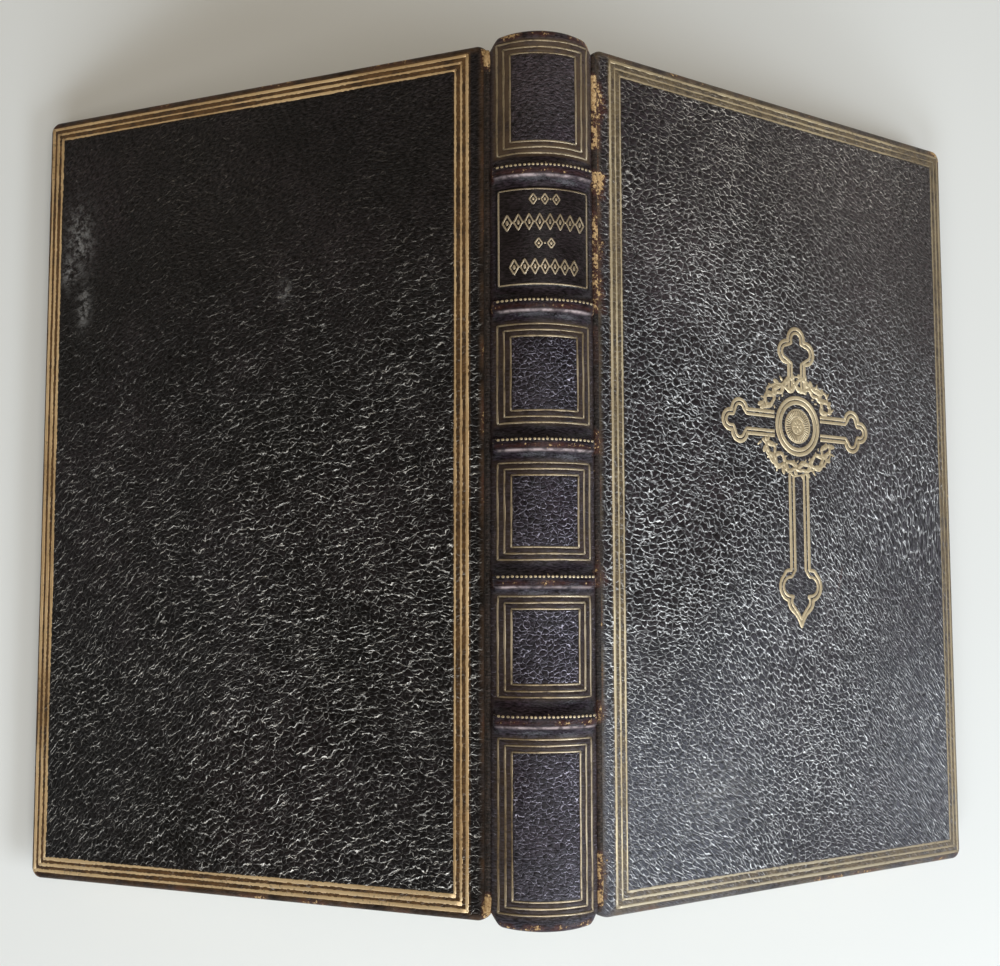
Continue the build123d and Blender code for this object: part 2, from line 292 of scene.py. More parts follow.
def maprange(nt, src, a, b, c, d, smooth=True):
    n = N(nt, "ShaderNodeMapRange")
    n.interpolation_type = "SMOOTHSTEP" if smooth else "LINEAR"
    n.inputs["From Min"].default_value = a
    n.inputs["From Max"].default_value = b
    n.inputs["To Min"].default_value = c
    n.inputs["To Max"].default_value = d
    L(nt, src, n.inputs["Value"])
    return n.outputs["Result"]


def math_(nt, op, a, b=None, clamp=False):
    n = N(nt, "ShaderNodeMath", operation=op)
    n.use_clamp = clamp
    for i, x in enumerate((a, b)):
        if x is None:
            continue
        if isinstance(x, (int, float)):
            n.inputs[i].default_value = x
        else:
            L(nt, x, n.inputs[i])
    return n.outputs[0]


def noise(nt, vec, scale, detail=3.0, rough=0.55, out="Fac"):
    n = N(nt, "ShaderNodeTexNoise")
    n.inputs["Scale"].default_value = scale
    n.inputs["Detail"].default_value = detail
    n.inputs["Roughness"].default_value = rough
    L(nt, vec, n.inputs["Vector"])
    return n.outputs[out]


def mixc(nt, fac, a, b):
    n = N(nt, "ShaderNodeMix", data_type="RGBA")
    for i, x in ((0, fac), (6, a), (7, b)):
        if isinstance(x, (int, float)):
            n.inputs[i].default_value = x
        elif isinstance(x, (tuple, list)):
            n.inputs[i].default_value = (*x[:3], 1)
        else:
            L(nt, x, n.inputs[i])
    return n.outputs[2]


def vec_op(nt, op, a, b):
    n = N(nt, "ShaderNodeVectorMath", operation=op)
    for i, x in enumerate((a, b)):
        if isinstance(x, (tuple, list)):
            n.inputs[i].default_value = x
        elif isinstance(x, (int, float)):
            n.inputs["Scale"].default_value = x
        else:
            L(nt, x, n.inputs[i])
    return n.outputs[0]


def warped(nt, vec, scale, amount):
    """Skin coordinates, mm, gently pushed about so that no line of the grain is straight."""
    nz = N(nt, "ShaderNodeTexNoise", noise_dimensions="2D")
    nz.inputs["Scale"].default_value = scale
    nz.inputs["Detail"].default_value = 2.0
    L(nt, vec, nz.inputs["Vector"])
    off = vec_op(nt, "SUBTRACT", nz.outputs["Color"], (0.5, 0.5, 0.5))
    return vec_op(nt, "ADD", vec, vec_op(nt, "SCALE", off, amount))


def cells(nt, vec, size, rand=0.9):
    """Distance to the nearest edge of the grain's cells, whose size is given in mm along and across the skin's flow."""
    v = vec_op(nt, "MULTIPLY", vec, (1 / size[0], 1 / size[1], 0.0))
    vo = N(nt, "ShaderNodeTexVoronoi", feature="DISTANCE_TO_EDGE", voronoi_dimensions="2D")
    vo.inputs["Scale"].default_value = 1.0
    vo.inputs["Randomness"].default_value = rand
    L(nt, v, vo.inputs["Vector"])
    return vo.outputs["Distance"]


def skin_pattern(nt, vec, cell, fold):
    w1 = warped(nt, vec, 0.55, 1.3)
    w2 = warped(nt, w1, 1.9, 0.42)
    return cells(nt, w2, cell), cells(nt, w1, fold), w2


def leather(name, dark, warm, crease, bloom_highlight_lo, bloom_highlight_hi, rough=0.4, cell=(2.1, 1.12), fold=(9.0, 3.4), fine_lines=0.55, fold_lines=0.06, spec=0.24, relief=1.0, streak=0.30, thick=1.0, cross_lines=0.35, chain=0.4, chain_cell=(5.2, 1.75), swell=0.0, toning=(0.12, 0.07, 0.035)):
    m, nt, b = mat_new(name)
    tc = N(nt, "ShaderNodeTexCoord").outputs["Object"]
    sk = N(nt, "ShaderNodeAttribute", attribute_name="skin").outputs["Vector"]
    d1, d2, wv = skin_pattern(nt, sk, cell, fold)
    # creases that run with the flow of the hide are the strong ones
    across = cells(nt, vec_op(nt, "ADD", wv, (0.0, 0.30 * cell[1], 0.0)), cell)
    along = maprange(nt, across, 0.05, 0.24, cross_lines, 1)
    bloom_and_highlight = N(nt, "ShaderNodeAttribute", attribute_name="bloom_and_highlight").outputs["Fac"]
    line1 = maprange(nt, math_(nt, "SUBTRACT", d1, math_(nt, "MULTIPLY", bloom_and_highlight, 0.032 * swell)), 0.012, 0.012 + 0.075 * thick, 1, 0)
    dome = maprange(nt, d1, 0.0, 0.26, 0, 1)
    line2 = maprange(nt, d2, 0.008, 0.045, 1, 0)
    dome2 = maprange(nt, d2, 0.0, 0.10, 0, 1)
    att = N(nt, "ShaderNodeAttribute", attribute_name="grain").outputs["Fac"]
    wear = N(nt, "ShaderNodeAttribute", attribute_name="wear").outputs["Fac"]
    big = noise(nt, tc, 28.0, 4.0, 0.6)
    mid = noise(nt, tc, 190.0, 3.0)
    fine = noise(nt, tc, 2600.0, 3.0)
    col = mixc(nt, maprange(nt, big, 0.35, 0.68, 0, 1), dark, warm)
    tone = maprange(nt, mid, 0.3, 0.75, 0.7, 1.3)
    hue = N(nt, "ShaderNodeMix", data_type="RGBA", blend_type="MULTIPLY")
    hue.inputs[0].default_value = 1.0
    L(nt, col, hue.inputs[6])
    L(nt, tone, hue.inputs[7])
    col = hue.outputs[2]
    # pale creases: fine ones round every cell, stronger ones along the folds, both coming and going; their paleness is
    # partly bloom in the crevices and partly painted highlight where the crease walls would catch the light
    near_fold = maprange(nt, d2, 0.04, streak, 1, fine_lines)
    dash1 = math_(nt, "MULTIPLY", math_(nt, "MULTIPLY", near_fold, along), maprange(nt, noise(nt, tc, 620.0, 2.0), 0.34, 0.56, 0.4, 1))
    dash2 = maprange(nt, noise(nt, tc, 260.0, 2.0), 0.38, 0.60, 0.0, 1)
    a1 = math_(nt, "MULTIPLY", line1, dash1)
    a2 = math_(nt, "MULTIPLY", math_(nt, "MULTIPLY", line2, dash2), fold_lines)
    amount = math_(nt, "MAXIMUM", a1, a2)
    # long broken chains of creases lying along the flow, painted pale and broken into painted glints
    shifted = vec_op(nt, "ADD", wv, (3.7, 1.9, 0.0))
    line3 = maprange(nt, cells(nt, shifted, chain_cell), 0.008, 0.048, 1, 0)
    flat3 = maprange(nt, cells(nt, vec_op(nt, "ADD", shifted, (0.0, 0.30 * chain_cell[1], 0.0)), chain_cell), 0.08, 0.24, 0, 1)
    glint = math_(nt, "MULTIPLY", maprange(nt, noise(nt, tc, 170.0, 2.0), 0.42, 0.55, 0, 1), maprange(nt, noise(nt, tc, 950.0, 2.0), 0.36, 0.56, 0.45, 1))
    a3 = math_(nt, "MULTIPLY", math_(nt, "MULTIPLY", line3, flat3), math_(nt, "MULTIPLY", glint, chain))
    amount = math_(nt, "MAXIMUM", amount, a3)
    # bloom_and_highlight scales the pale creases: partly bloom, partly painted highlight laid on the side of each piece
    # that faces the light
    amount = math_(nt, "MULTIPLY", amount, maprange(nt, bloom_and_highlight, 0, 1, bloom_highlight_lo, bloom_highlight_hi, False))
    amount = math_(nt, "MULTIPLY", amount, att, True)
    up = N(nt, "ShaderNodeSeparateXYZ")
    L(nt, tc, up.inputs[0])
    tinted = mixc(nt, maprange(nt, up.outputs["Y"], 0.02, 0.075, 0, 1), crease, (crease[0], crease[1] * 0.91, crease[2] * 0.80))
    col = mixc(nt, amount, col, tinted)
    # painted sheen: a pale bluish film standing for the lamp's reflection, laid more on the cells' tops and warmer
    # towards the head
    painted_sheen = N(nt, "ShaderNodeAttribute", attribute_name="painted_sheen").outputs["Fac"]
    painted_sheen_colour = mixc(nt, maprange(nt, up.outputs["Y"], -0.03, 0.05, 0, 1), (0.128, 0.136, 0.170), (0.122, 0.103, 0.100))
    col = mixc(nt, math_(nt, "MULTIPLY", painted_sheen, maprange(nt, dome, 0, 1, 0.38, 0.56)), col, painted_sheen_colour)
    ridge = N(nt, "ShaderNodeAttribute", attribute_name="ridge").outputs["Fac"]
    # fibres of the skin run with its flow inside every cell
    fibre = N(nt, "ShaderNodeTexNoise", noise_dimensions="2D")
    fibre.inputs["Scale"].default_value = 1.0
    fibre.inputs["Detail"].default_value = 2.5
    L(nt, vec_op(nt, "MULTIPLY", sk, (0.95, 3.6, 0.0)), fibre.inputs["Vector"])
    streaky = N(nt, "ShaderNodeMix", data_type="RGBA", blend_type="MULTIPLY")
    streaky.inputs[0].default_value = 1.0
    L(nt, col, streaky.inputs[6])
    L(nt, maprange(nt, fibre.outputs["Fac"], 0.32, 0.68, 0.38, 1.75), streaky.inputs[7])
    col = streaky.outputs[2]
    # pale flecks
    fleck = maprange(nt, noise(nt, tc, 900.0, 1.0), 0.75, 0.80, 0, 0.6)
    fleck = math_(nt, "MULTIPLY", fleck, maprange(nt, big, 0.5, 0.7, 0.1, 1))
    col = mixc(nt, fleck, col, (0.24, 0.23, 0.22))
    # scuffed grey film
    scuff = N(nt, "ShaderNodeAttribute", attribute_name="scuff").outputs["Fac"]
    sc = math_(nt, "MULTIPLY", scuff, maprange(nt, noise(nt, tc, 700.0, 4.0, 0.7), 0.42, 0.60, 0, 1), True)
    col = mixc(nt, math_(nt, "MULTIPLY", sc, 0.85), col, (0.25, 0.245, 0.25))
    # leather browned by handling along the tooled borders
    toned = N(nt, "ShaderNodeAttribute", attribute_name="toned").outputs["Fac"]
    col = mixc(nt, math_(nt, "MULTIPLY", toned, maprange(nt, noise(nt, tc, 330.0, 3.0), 0.32, 0.62, 0.35, 1), True), col, toning)
    # skin rubbed reddish brown, then through to pale tan
    tan = mixc(nt, maprange(nt, fine, 0.3, 0.7, 0, 1), (0.34, 0.19, 0.085), (0.60, 0.41, 0.21))
    torn = maprange(nt, math_(nt, "ADD", wear, math_(nt, "MULTIPLY", math_(nt, "SUBTRACT", noise(nt, tc, 1300.0, 4.0, 0.7), 0.5), 1.6)), 0.48, 0.62, 0, 1)
    rub = maprange(nt, wear, 0.14, 0.5, 0, 0.85)
    col = mixc(nt, math_(nt, "MULTIPLY", rub, maprange(nt, fine, 0.3, 0.7, 0.4, 1)), col, (0.085, 0.028, 0.020))
    col = mixc(nt, torn, col, tan)
    # painted highlight: a thin pinkish line along the tail-side shoulder of each band, read from the ridge attribute
    col = mixc(nt, math_(nt, "MULTIPLY", ridge, maprange(nt, noise(nt, tc, 800.0, 3.0), 0.35, 0.6, 0.25, 0.9)), col, (0.50, 0.40, 0.41))
    L(nt, col, b.inputs["Base Color"])
    r = maprange(nt, mid, 0.3, 0.7, rough - 0.05, rough + 0.07)
    r = math_(nt, "ADD", r, math_(nt, "MULTIPLY", torn, 0.35))
    polish = N(nt, "ShaderNodeAttribute", attribute_name="polish").outputs["Fac"]
    r = math_(nt, "SUBTRACT", r, math_(nt, "MULTIPLY", polish, 0.14), True)
    L(nt, r, b.inputs["Roughness"])
    b.inputs["IOR"].default_value = 1.45
    b.inputs["Specular IOR Level"].default_value = spec
    h = math_(nt, "MULTIPLY", math_(nt, "ADD", dome, math_(nt, "MULTIPLY", dome2, 0.25)), att)
    h = math_(nt, "ADD", h, math_(nt, "MULTIPLY", fine, 0.14))
    pebble = N(nt, "ShaderNodeTexNoise", noise_dimensions="2D")
    pebble.inputs["Scale"].default_value = 1.0
    pebble.inputs["Detail"].default_value = 2.0
    L(nt, vec_op(nt, "MULTIPLY", sk, (2.2, 3.4, 0.0)), pebble.inputs["Vector"])
    h = math_(nt, "ADD", h, math_(nt, "MULTIPLY", pebble.outputs["Fac"], 0.55))
    h = math_(nt, "ADD", h, math_(nt, "MULTIPLY", torn, -0.6))
    bump = N(nt, "ShaderNodeBump")
    bump.inputs["Strength"].default_value = 0.85
    bump.inputs["Distance"].default_value = 0.00020 * relief
    L(nt, h, bump.inputs["Height"])
    L(nt, bump.outputs[0], b.inputs["Normal"])
    m["cell"], m["fold"] = cell, fold
    return m


def gilt(name, bright, dull, wornness=0.5, metal=0.85, tail=None, far=None):
    m, nt, b = mat_new(name)
    tc = N(nt, "ShaderNodeTexCoord").outputs["Object"]
    n1 = noise(nt, tc, 900.0, 4.0, 0.65)
    n2 = noise(nt, tc, 60.0, 3.0)
    worn = maprange(nt, math_(nt, "ADD", math_(nt, "MULTIPLY", n1, 0.75), math_(nt, "MULTIPLY", n2, 0.4)), 0.56 + 0.12 * (1 - wornness), 0.74 + 0.1 * (1 - wornness), 0, 1)
    col = mixc(nt, maprange(nt, n2, 0.3, 0.7, 0, 1), bright, dull)
    place = N(nt, "ShaderNodeSeparateXYZ")
    L(nt, tc, place.inputs[0])
    if tail:                                 # the gold along the tail edge
        col = mixc(nt, maprange(nt, place.outputs["Y"], -0.0775, -0.0715, tail[1], 0), col, tail[0])
    if far:                                  # and along the fore-edge
        col = mixc(nt, maprange(nt, place.outputs["X"], 0.086, 0.091, 0, far[1]), col, far[0])
    col = mixc(nt, math_(nt, "MULTIPLY", worn, 0.8), col, (0.060, 0.036, 0.020))
    L(nt, col, b.inputs["Base Color"])
    L(nt, maprange(nt, worn, 0, 1, metal, 0.1), b.inputs["Metallic"])
    L(nt, maprange(nt, n1, 0.3, 0.7, 0.34, 0.58), b.inputs["Roughness"])
    bump = N(nt, "ShaderNodeBump")
    bump.inputs["Strength"].default_value = 0.5
    bump.inputs["Distance"].default_value = 0.00004
    L(nt, noise(nt, tc, 1500.0, 4.0, 0.7), bump.inputs["Height"])
    L(nt, bump.outputs[0], b.inputs["Normal"])
    return m


def paper(name, pale, aged, spots=0.5, rough=0.85, gloss_edge=False):
    m, nt, b = mat_new(name)
    tc = N(nt, "ShaderNodeTexCoord").outputs["Object"]
    n1 = noise(nt, tc, 22.0, 4.0, 0.6)
    n2 = noise(nt, tc, 340.0, 4.0, 0.6)
    n3 = noise(nt, tc, 3800.0, 2.0)
    col = mixc(nt, maprange(nt, n1, 0.3, 0.72, 0, 1), pale, aged)
    col = mixc(nt, maprange(nt, n3, 0.35, 0.7, 0, 0.25), col, tuple(0.75 * c for c in aged))
    fox = math_(nt, "MULTIPLY", maprange(nt, n2, 0.66, 0.75, 0, 1), maprange(nt, n1, 0.45, 0.65, 0.1, 1))
    col = mixc(nt, math_(nt, "MULTIPLY", fox, spots), col, (0.36, 0.20, 0.09))
    L(nt, col, b.inputs["Base Color"])
    b.inputs["Roughness"].default_value = rough
    bump = N(nt, "ShaderNodeBump")
    bump.inputs["Strength"].default_value = 0.35
    bump.inputs["Distance"].default_value = 0.00004
    L(nt, n3, bump.inputs["Height"])
    L(nt, bump.outputs[0], b.inputs["Normal"])
    return m


def thread(name, c1, c2, scale):
    m, nt, b = mat_new(name)
    tc = N(nt, "ShaderNodeTexCoord").outputs["Object"]
    n1 = noise(nt, tc, scale, 3.0)
    n2 = noise(nt, tc, scale * 6, 3.0)
    L(nt, mixc(nt, maprange(nt, n1, 0.4, 0.6, 0, 1), c1, c2), b.inputs["Base Color"])
    b.inputs["Roughness"].default_value = 0.75
    b.inputs["Sheen Weight"].default_value = 0.3
    bump = N(nt, "ShaderNodeBump")
    bump.inputs["Strength"].default_value = 0.6
    bump.inputs["Distance"].default_value = 0.00006
    L(nt, n2, bump.inputs["Height"])
    L(nt, bump.outputs[0], b.inputs["Normal"])
    return m


M_FRONT = leather("leather_front_cover", (0.010, 0.007, 0.009), (0.020, 0.014, 0.017), (0.95, 0.96, 1.0), 0.12, 1.0, 0.42, cell=(2.0, 1.08), fold=(8.0, 2.8), spec=0.19, thick=0.78, cross_lines=0.36, chain=0.85, chain_cell=(5.4, 2.0), swell=1.15, toning=(0.20, 0.145, 0.082))
M_BACK = leather("leather_back_cover", (0.007, 0.006, 0.006), (0.012, 0.009, 0.010), (1.0, 0.98, 0.97), 0.02, 1.0, 0.42, cell=(1.55, 0.95), fold=(6.5, 2.1), fine_lines=0.23, fold_lines=0.03, relief=0.9, spec=0.125, streak=0.13, thick=0.62, cross_lines=0.20, chain=1.0, chain_cell=(5.0, 2.1), swell=0.2, toning=(0.15, 0.078, 0.032))
M_SPINE = leather("leather_spine", (0.009, 0.006, 0.010), (0.019, 0.012, 0.018), (0.76, 0.72, 0.92), 0.04, 0.90, 0.32, cell=(1.15, 0.85), fold=(4.0, 2.4), relief=0.6, spec=0.19, thick=0.68, chain=0.2, chain_cell=(3.6, 1.5), swell=0.4, toning=(0.080, 0.052, 0.034))
M_LABEL = leather("leather_label", (0.010, 0.007, 0.009), (0.016, 0.011, 0.013), (0.30, 0.26, 0.26), 0.05, 0.3, 0.34, cell=(1.1, 0.9), relief=0.4, spec=0.3)
M_JOINT = leather("leather_joint", (0.014, 0.010, 0.010), (0.028, 0.018, 0.014), (0.34, 0.31, 0.28), 0.2, 0.6, 0.42, cell=(0.9, 0.8))
M_GILT_R = gilt("gilt_front", (0.74, 0.62, 0.43), (0.55, 0.44, 0.29), 0.34, 0.70, tail=((0.42, 0.355, 0.265), 0.85), far=((0.38, 0.305, 0.21), 0.78))
# the back cover's gold is lightened along its tail edge: a painted highlight
M_GILT_L = gilt("gilt_back", (0.95, 0.69, 0.40), (0.62, 0.41, 0.21), 0.42, 0.60, tail=((1.0, 0.78, 0.50), 0.5))
M_GILT_S = gilt("gilt_spine", (0.60, 0.50, 0.37), (0.27, 0.20, 0.12), 0.85, 0.80)
M_EDGE = gilt("gilt_page_edges", (0.78, 0.58, 0.28), (0.58, 0.40, 0.18), 0.3)
M_PAGE = paper("page_paper", (0.74, 0.66, 0.50), (0.62, 0.52, 0.35), 0.45)
M_END = paper("endpaper", (0.62, 0.53, 0.38), (0.46, 0.36, 0.23), 0.6)
M_LINING = paper("lining_paper", (0.40, 0.31, 0.21), (0.30, 0.22, 0.14), 0.4)
M_BOARD = paper("millboard", (0.26, 0.20, 0.15), (0.20, 0.15, 0.11), 0.3)
M_CORD = thread("hemp_cord", (0.42, 0.33, 0.21), (0.30, 0.22, 0.13), 900.0)
M_MULL = thread("mull_cloth", (0.50, 0.43, 0.32), (0.38, 0.31, 0.22), 1400.0)
M_SILK_A = thread("headband_silk_cream", (0.62, 0.54, 0.38), (0.50, 0.41, 0.27), 1200.0)
M_SILK_B = thread("headband_silk_green", (0.07, 0.10, 0.05), (0.045, 0.06, 0.03), 1200.0)


# ---------------------------------------------------------------- camera
def axis_rot(rv):
    th = np.linalg.norm(rv)
    k = rv / th
    K = np.array([[0, -k[2], k[1]], [k[2], 0, -k[0]], [-k[1], k[0], 0]])
    return np.eye(3) + math.sin(th) * K + (1 - math.cos(th)) * K @ K


cam_data = bpy.data.cameras.new("camera")
cam = bpy.data.objects.new("camera", cam_data)
bpy.context.scene.collection.objects.link(cam)
world_to_cam = axis_rot(np.radians(np.array([-5.15, 5.88, -0.14])))
cam.matrix_world = Matrix.Translation(Vector((-34.7 * MM, -25.8 * MM, (ZJ + 259.2) * MM))) @ Matrix(world_to_cam.T.tolist()).to_4x4()
cam_data.sensor_width = 36.0
cam_data.lens = 1400.0 / 1000.0 * 36.0
cam_data.clip_start, cam_data.clip_end = 0.01, 10.0
bpy.context.scene.camera = cam


# ---------------------------------------------------------------- grain relief in the mesh
def relief_group(cell, fold, height):
    g = bpy.data.node_groups.new("grain_relief", "GeometryNodeTree")
    g.interface.new_socket("Geometry", in_out="INPUT", socket_type="NodeSocketGeometry")
    g.interface.new_socket("Geometry", in_out="OUTPUT", socket_type="NodeSocketGeometry")
    gi, go = g.nodes.new("NodeGroupInput"), g.nodes.new("NodeGroupOutput")
    nrm = g.nodes.new("GeometryNodeInputNormal").outputs[0]
    sk = g.nodes.new("GeometryNodeInputNamedAttribute")
    sk.data_type = "FLOAT_VECTOR"
    sk.inputs["Name"].default_value = "skin"
    d1, d2, _ = skin_pattern(g, sk.outputs[0], cell, fold)
    low = math_(g, "ADD", maprange(g, d1, 0.0, 0.26, -1, 0), maprange(g, d2, 0.0, 0.10, -0.2, 0))
    att = g.nodes.new("GeometryNodeInputNamedAttribute")
    att.data_type = "FLOAT"
    att.inputs["Name"].default_value = "grain"
    amt = math_(g, "MULTIPLY", math_(g, "MULTIPLY", low, att.outputs[0]), height * MM)
    sc = N(g, "ShaderNodeVectorMath", operation="SCALE")
    L(g, nrm, sc.inputs[0])
    L(g, amt, sc.inputs["Scale"])
    sp = g.nodes.new("GeometryNodeSetPosition")
    L(g, gi.outputs[0], sp.inputs["Geometry"])
    L(g, sc.outputs[0], sp.inputs["Offset"])
    L(g, sp.outputs[0], go.inputs[0])
    return g


def apply_grain(ob, height=0.09):
    mat = ob.data.materials[0]
    md = ob.modifiers.new("grain", "NODES")
    md.node_group = relief_group(tuple(mat["cell"]), tuple(mat["fold"]), height)
    dg = bpy.context.evaluated_depsgraph_get()
    me = bpy.data.meshes.new_from_object(ob.evaluated_get(dg), preserve_all_data_layers=True, depsgraph=dg)
    ob.modifiers.clear()
    old = ob.data
    ob.data = me
    bpy.data.meshes.remove(old)
    ob.data.polygons.foreach_set("use_smooth", [True] * len(ob.data.polygons))


# ---------------------------------------------------------------- covers
R_EDGE, R_PLAN, R_IN = 0.95, 2.3, 0.55


def edge_profile():
    """Offsets in from the outline and depths, from the flat face over the rounded edge to the recess of the pastedown."""
    p = [(o, 0.0) for o in np.linspace(R_PLAN, R_EDGE, 5)]
    for a in np.linspace(0, math.pi / 2, 7)[1:]:
        p.append((R_EDGE * (1 - math.sin(a)), R_EDGE * (1 - math.cos(a))))
    p.append((-0.03, 1.6))
    p.append((0.0, COVER_T - R_IN))
    for a in np.linspace(0, math.pi / 2, 5)[1:]:
        p.append((R_IN * (1 - math.cos(a)), COVER_T - R_IN * (1 - math.sin(a))))
    for o in (1.4, 2.4, 4.5, 7.0, 9.5, 11.6, 11.95):
        p.append((o, COVER_T))
    p.append((12.05, COVER_T - 0.12))
    p.append((12.1, COVER_T - 0.38))
    return np.array(p)


def axis_lines(lo, hi, step, special):
    base = np.linspace(lo, hi, int((hi - lo) / step) + 1)
    extra = np.array([s + o for s in special for o in (-0.34, -0.2, -0.07, 0.07, 0.2, 0.34)])
    extra = extra[(extra > lo) & (extra < hi)]
    keep = [b for b in base if b in (lo, hi) or np.min(np.abs(extra - b)) > 0.12]
    return np.unique(np.concatenate([keep, extra]))


def cross_distance(u, v):
    """Rough distance outside the cross's silhouette, mm."""
    x, y = u - CU, v - CV
    q = lambda hx, hy, cx=0, cy=0: np.maximum(np.abs(x - cx) - hx, np.abs(y - cy) - hy)
    d = np.minimum(q(3.2, 31.5, 0, -10.5), q(21.0, 2.8))
    d = np.minimum(d, np.hypot(x, y) - 11.2)
    for cx, cy, r in ((0, 17.5, 4.6), (-19, 0, 4.6), (19, 0, 4.6), (0, -34.5, 6.2)):
        d = np.minimum(d, np.hypot(x - cx, y - cy) - r)
    return d


def make_cover(side, mat, gilt_mat, step):
    sg = 1 if side == "front" else -1
    prof = edge_profile()
    k = len(prof)
    lo_u, hi_u = 0.35, U1
    us = axis_lines(lo_u + R_PLAN, hi_u - R_PLAN, step, [LINES_U0 - i * PITCH for i in range(3)] + [LINES_U1 + i * PITCH for i in range(3)])
    vs = axis_lines(-HV + R_PLAN, HV - R_PLAN, step, [s * (LINES_V + i * PITCH) for i in range(3) for s in (1, -1)])
    nu, nv = len(us) + 2 * (k - 1), len(vs) + 2 * (k - 1)
    # index of each grid line: how far it is out along the edge profile, on which side
    def lines(vals):
        out = np.zeros(len(vals) + 2 * (k - 1), int)
        out[: k - 1] = -np.arange(k - 1, 0, -1)
        out[k - 1 + len(vals):] = np.arange(1, k)
        pos = np.zeros(len(out))
        pos[: k - 1] = vals[0]
        pos[k - 1 + len(vals):] = vals[-1]
        pos[k - 1: k - 1 + len(vals)] = vals
        return out, pos
    iu, pu = lines(us)
    iv, pv = lines(vs)
    IU, IV = np.meshgrid(iu, iv, indexing="ij")
    PU, PV = np.meshgrid(pu, pv, indexing="ij")
    au, av = np.abs(IU), np.abs(IV)
    m = np.maximum(au, av)
    off, dep = prof[m, 0], prof[m, 1]
    reach = R_PLAN - off                     # how far out from the flat's edge
    both = (au > 0) & (av > 0)
    ang = np.where(au >= av, av / np.maximum(au, 1) * 45.0, 90 - au / np.maximum(av, 1) * 45.0)
    ang = np.radians(np.where(both, ang, np.where(au > 0, 0.0, 90.0)))
    du = np.cos(ang) * reach
    dv = np.sin(ang) * reach
    # inside the corner centre the turn-ins meet in a mitre
    mitre = both & (reach < 0)
    du = np.where(mitre, reach, du)
    dv = np.where(mitre, reach, dv)
    du = np.where(au > 0, du, 0)
    dv = np.where(av > 0, dv, 0)
    u = PU + np.sign(IU) * du
    v = PV + np.sign(IV) * dv
    d = dep.copy()
    nz = Noise2(11 if sg > 0 else 12)
    flat = m == 0
    face = sstep(2.2, 0.2, dep)             # outer face only
    d = d - face * 0.05 * nz.fbm(u, v, 0.05, 3) - face * 0.03
    # tooled fillets press the skin
    g = np.zeros(u.shape)
    for i in range(3):
        a0, a1, b = LINES_U0 - i * PITCH, LINES_U1 + i * PITCH, LINES_V + i * PITCH
        on_v = (np.abs(v) < b + 0.3)
        on_u = (u > a0 - 0.3) & (u < a1 + 0.3)
        for e in (a0, a1):
            g = np.maximum(g, np.exp(-(((u - e) / 0.2) ** 2)) * on_v)
        g = np.maximum(g, np.exp(-(((np.abs(v) - b) / 0.2) ** 2)) * on_u)
    d = d + face * g * 0.10
    border = np.minimum.reduce([u - LINES_U0, LINES_U1 - u, LINES_V - np.abs(v)])
    grain = face * np.where(border < 0.4, np.where(u < LINES_U0 - 2 * PITCH, 0.95, 0.55), 1.0)
    rimd = np.minimum.reduce([u - lo_u, hi_u - u, HV - np.abs(v)])
    grain = grain * sstep(0.5, 2.4, rimd)
    grain = grain * (1 - 0.85 * g)
    if side == "front":
        cd = cross_distance(u, v)
        flatten = 1 - sstep(-0.2, 1.0, cd)
        grain = grain * (1 - 0.66 * flatten)
        d = d + face * flatten * 0.03
    grain = grain * (0.8 + 0.25 * nz.fbm(u + 50, v, 0.08, 2))
    # where the creases show pale: partly bloom, partly painted highlight, laid strongest towards the tail and on the
    # parts that face the light
    if side == "front":
        bloom_and_highlight = 0.50 + 0.38 * nz.fbm(u, v, 0.035, 3) + 0.40 * sstep(60, -60, v) - 0.32 * sstep(60, 105, u) * sstep(-60, 60, v) - 0.18 * sstep(30, 0, u) * sstep(0, 70, v)
        bloom_and_highlight = bloom_and_highlight + 0.16 * np.exp(-(((v - 42 + 0.25 * u) / 22) ** 2)) * sstep(10, 40, u) + 0.42 * sstep(-20, -60, v) * sstep(70, 30, u) - 0.12 * sstep(40, 75, v) * sstep(50, 10, u)
    else:
        bloom_and_highlight = 0.05 + 0.22 * nz.fbm(u, v, 0.03, 3) + 0.56 * sstep(92, 14, u) * sstep(82, -10, v) + 0.54 * sstep(60, -40, v)
        bloom_and_highlight = bloom_and_highlight * (1 - 0.5 * sstep(15, 62, v))
    bloom_and_highlight = np.clip(bloom_and_highlight, 0, 1)
    # painted sheen: a pale film standing for the lamp's reflection, mostly over the front cover's lower half and fore
    # edge, and over the back cover's head end
    if side == "front":
        painted_sheen = 0.08 + 0.62 * sstep(-14, -66, v) * sstep(64, 20, u) + 0.22 * sstep(0, -70, v) + 0.30 * sstep(40, 100, u) + 0.20 * sstep(10, 70, v) * sstep(5, 50, u) - 0.30 * np.exp(-(((u - 16) / 20) ** 2) - (((v + 10) / 34) ** 2))
        painted_sheen = np.clip(painted_sheen + 0.20 * nz.fbm(u + 11, v, 0.035, 3), 0, 0.85) * face
    else:
        painted_sheen = np.clip(0.06 * nz.fbm(u + 11, v, 0.03, 2) + 0.105 * sstep(-5, 60, v) + 0.03 * sstep(50, 100, u), 0, 0.25) * face
    # rubbed through: corners, edges, joint side
    edge_out = sstep(1.9, 0.4, rimd) * sstep(2.6, 1.2, dep)
    patch = nz.fbm(u * 1.0 + 9, v, 0.22, 3)
    wear = edge_out * sstep(-0.25, 0.6, patch) * 0.46
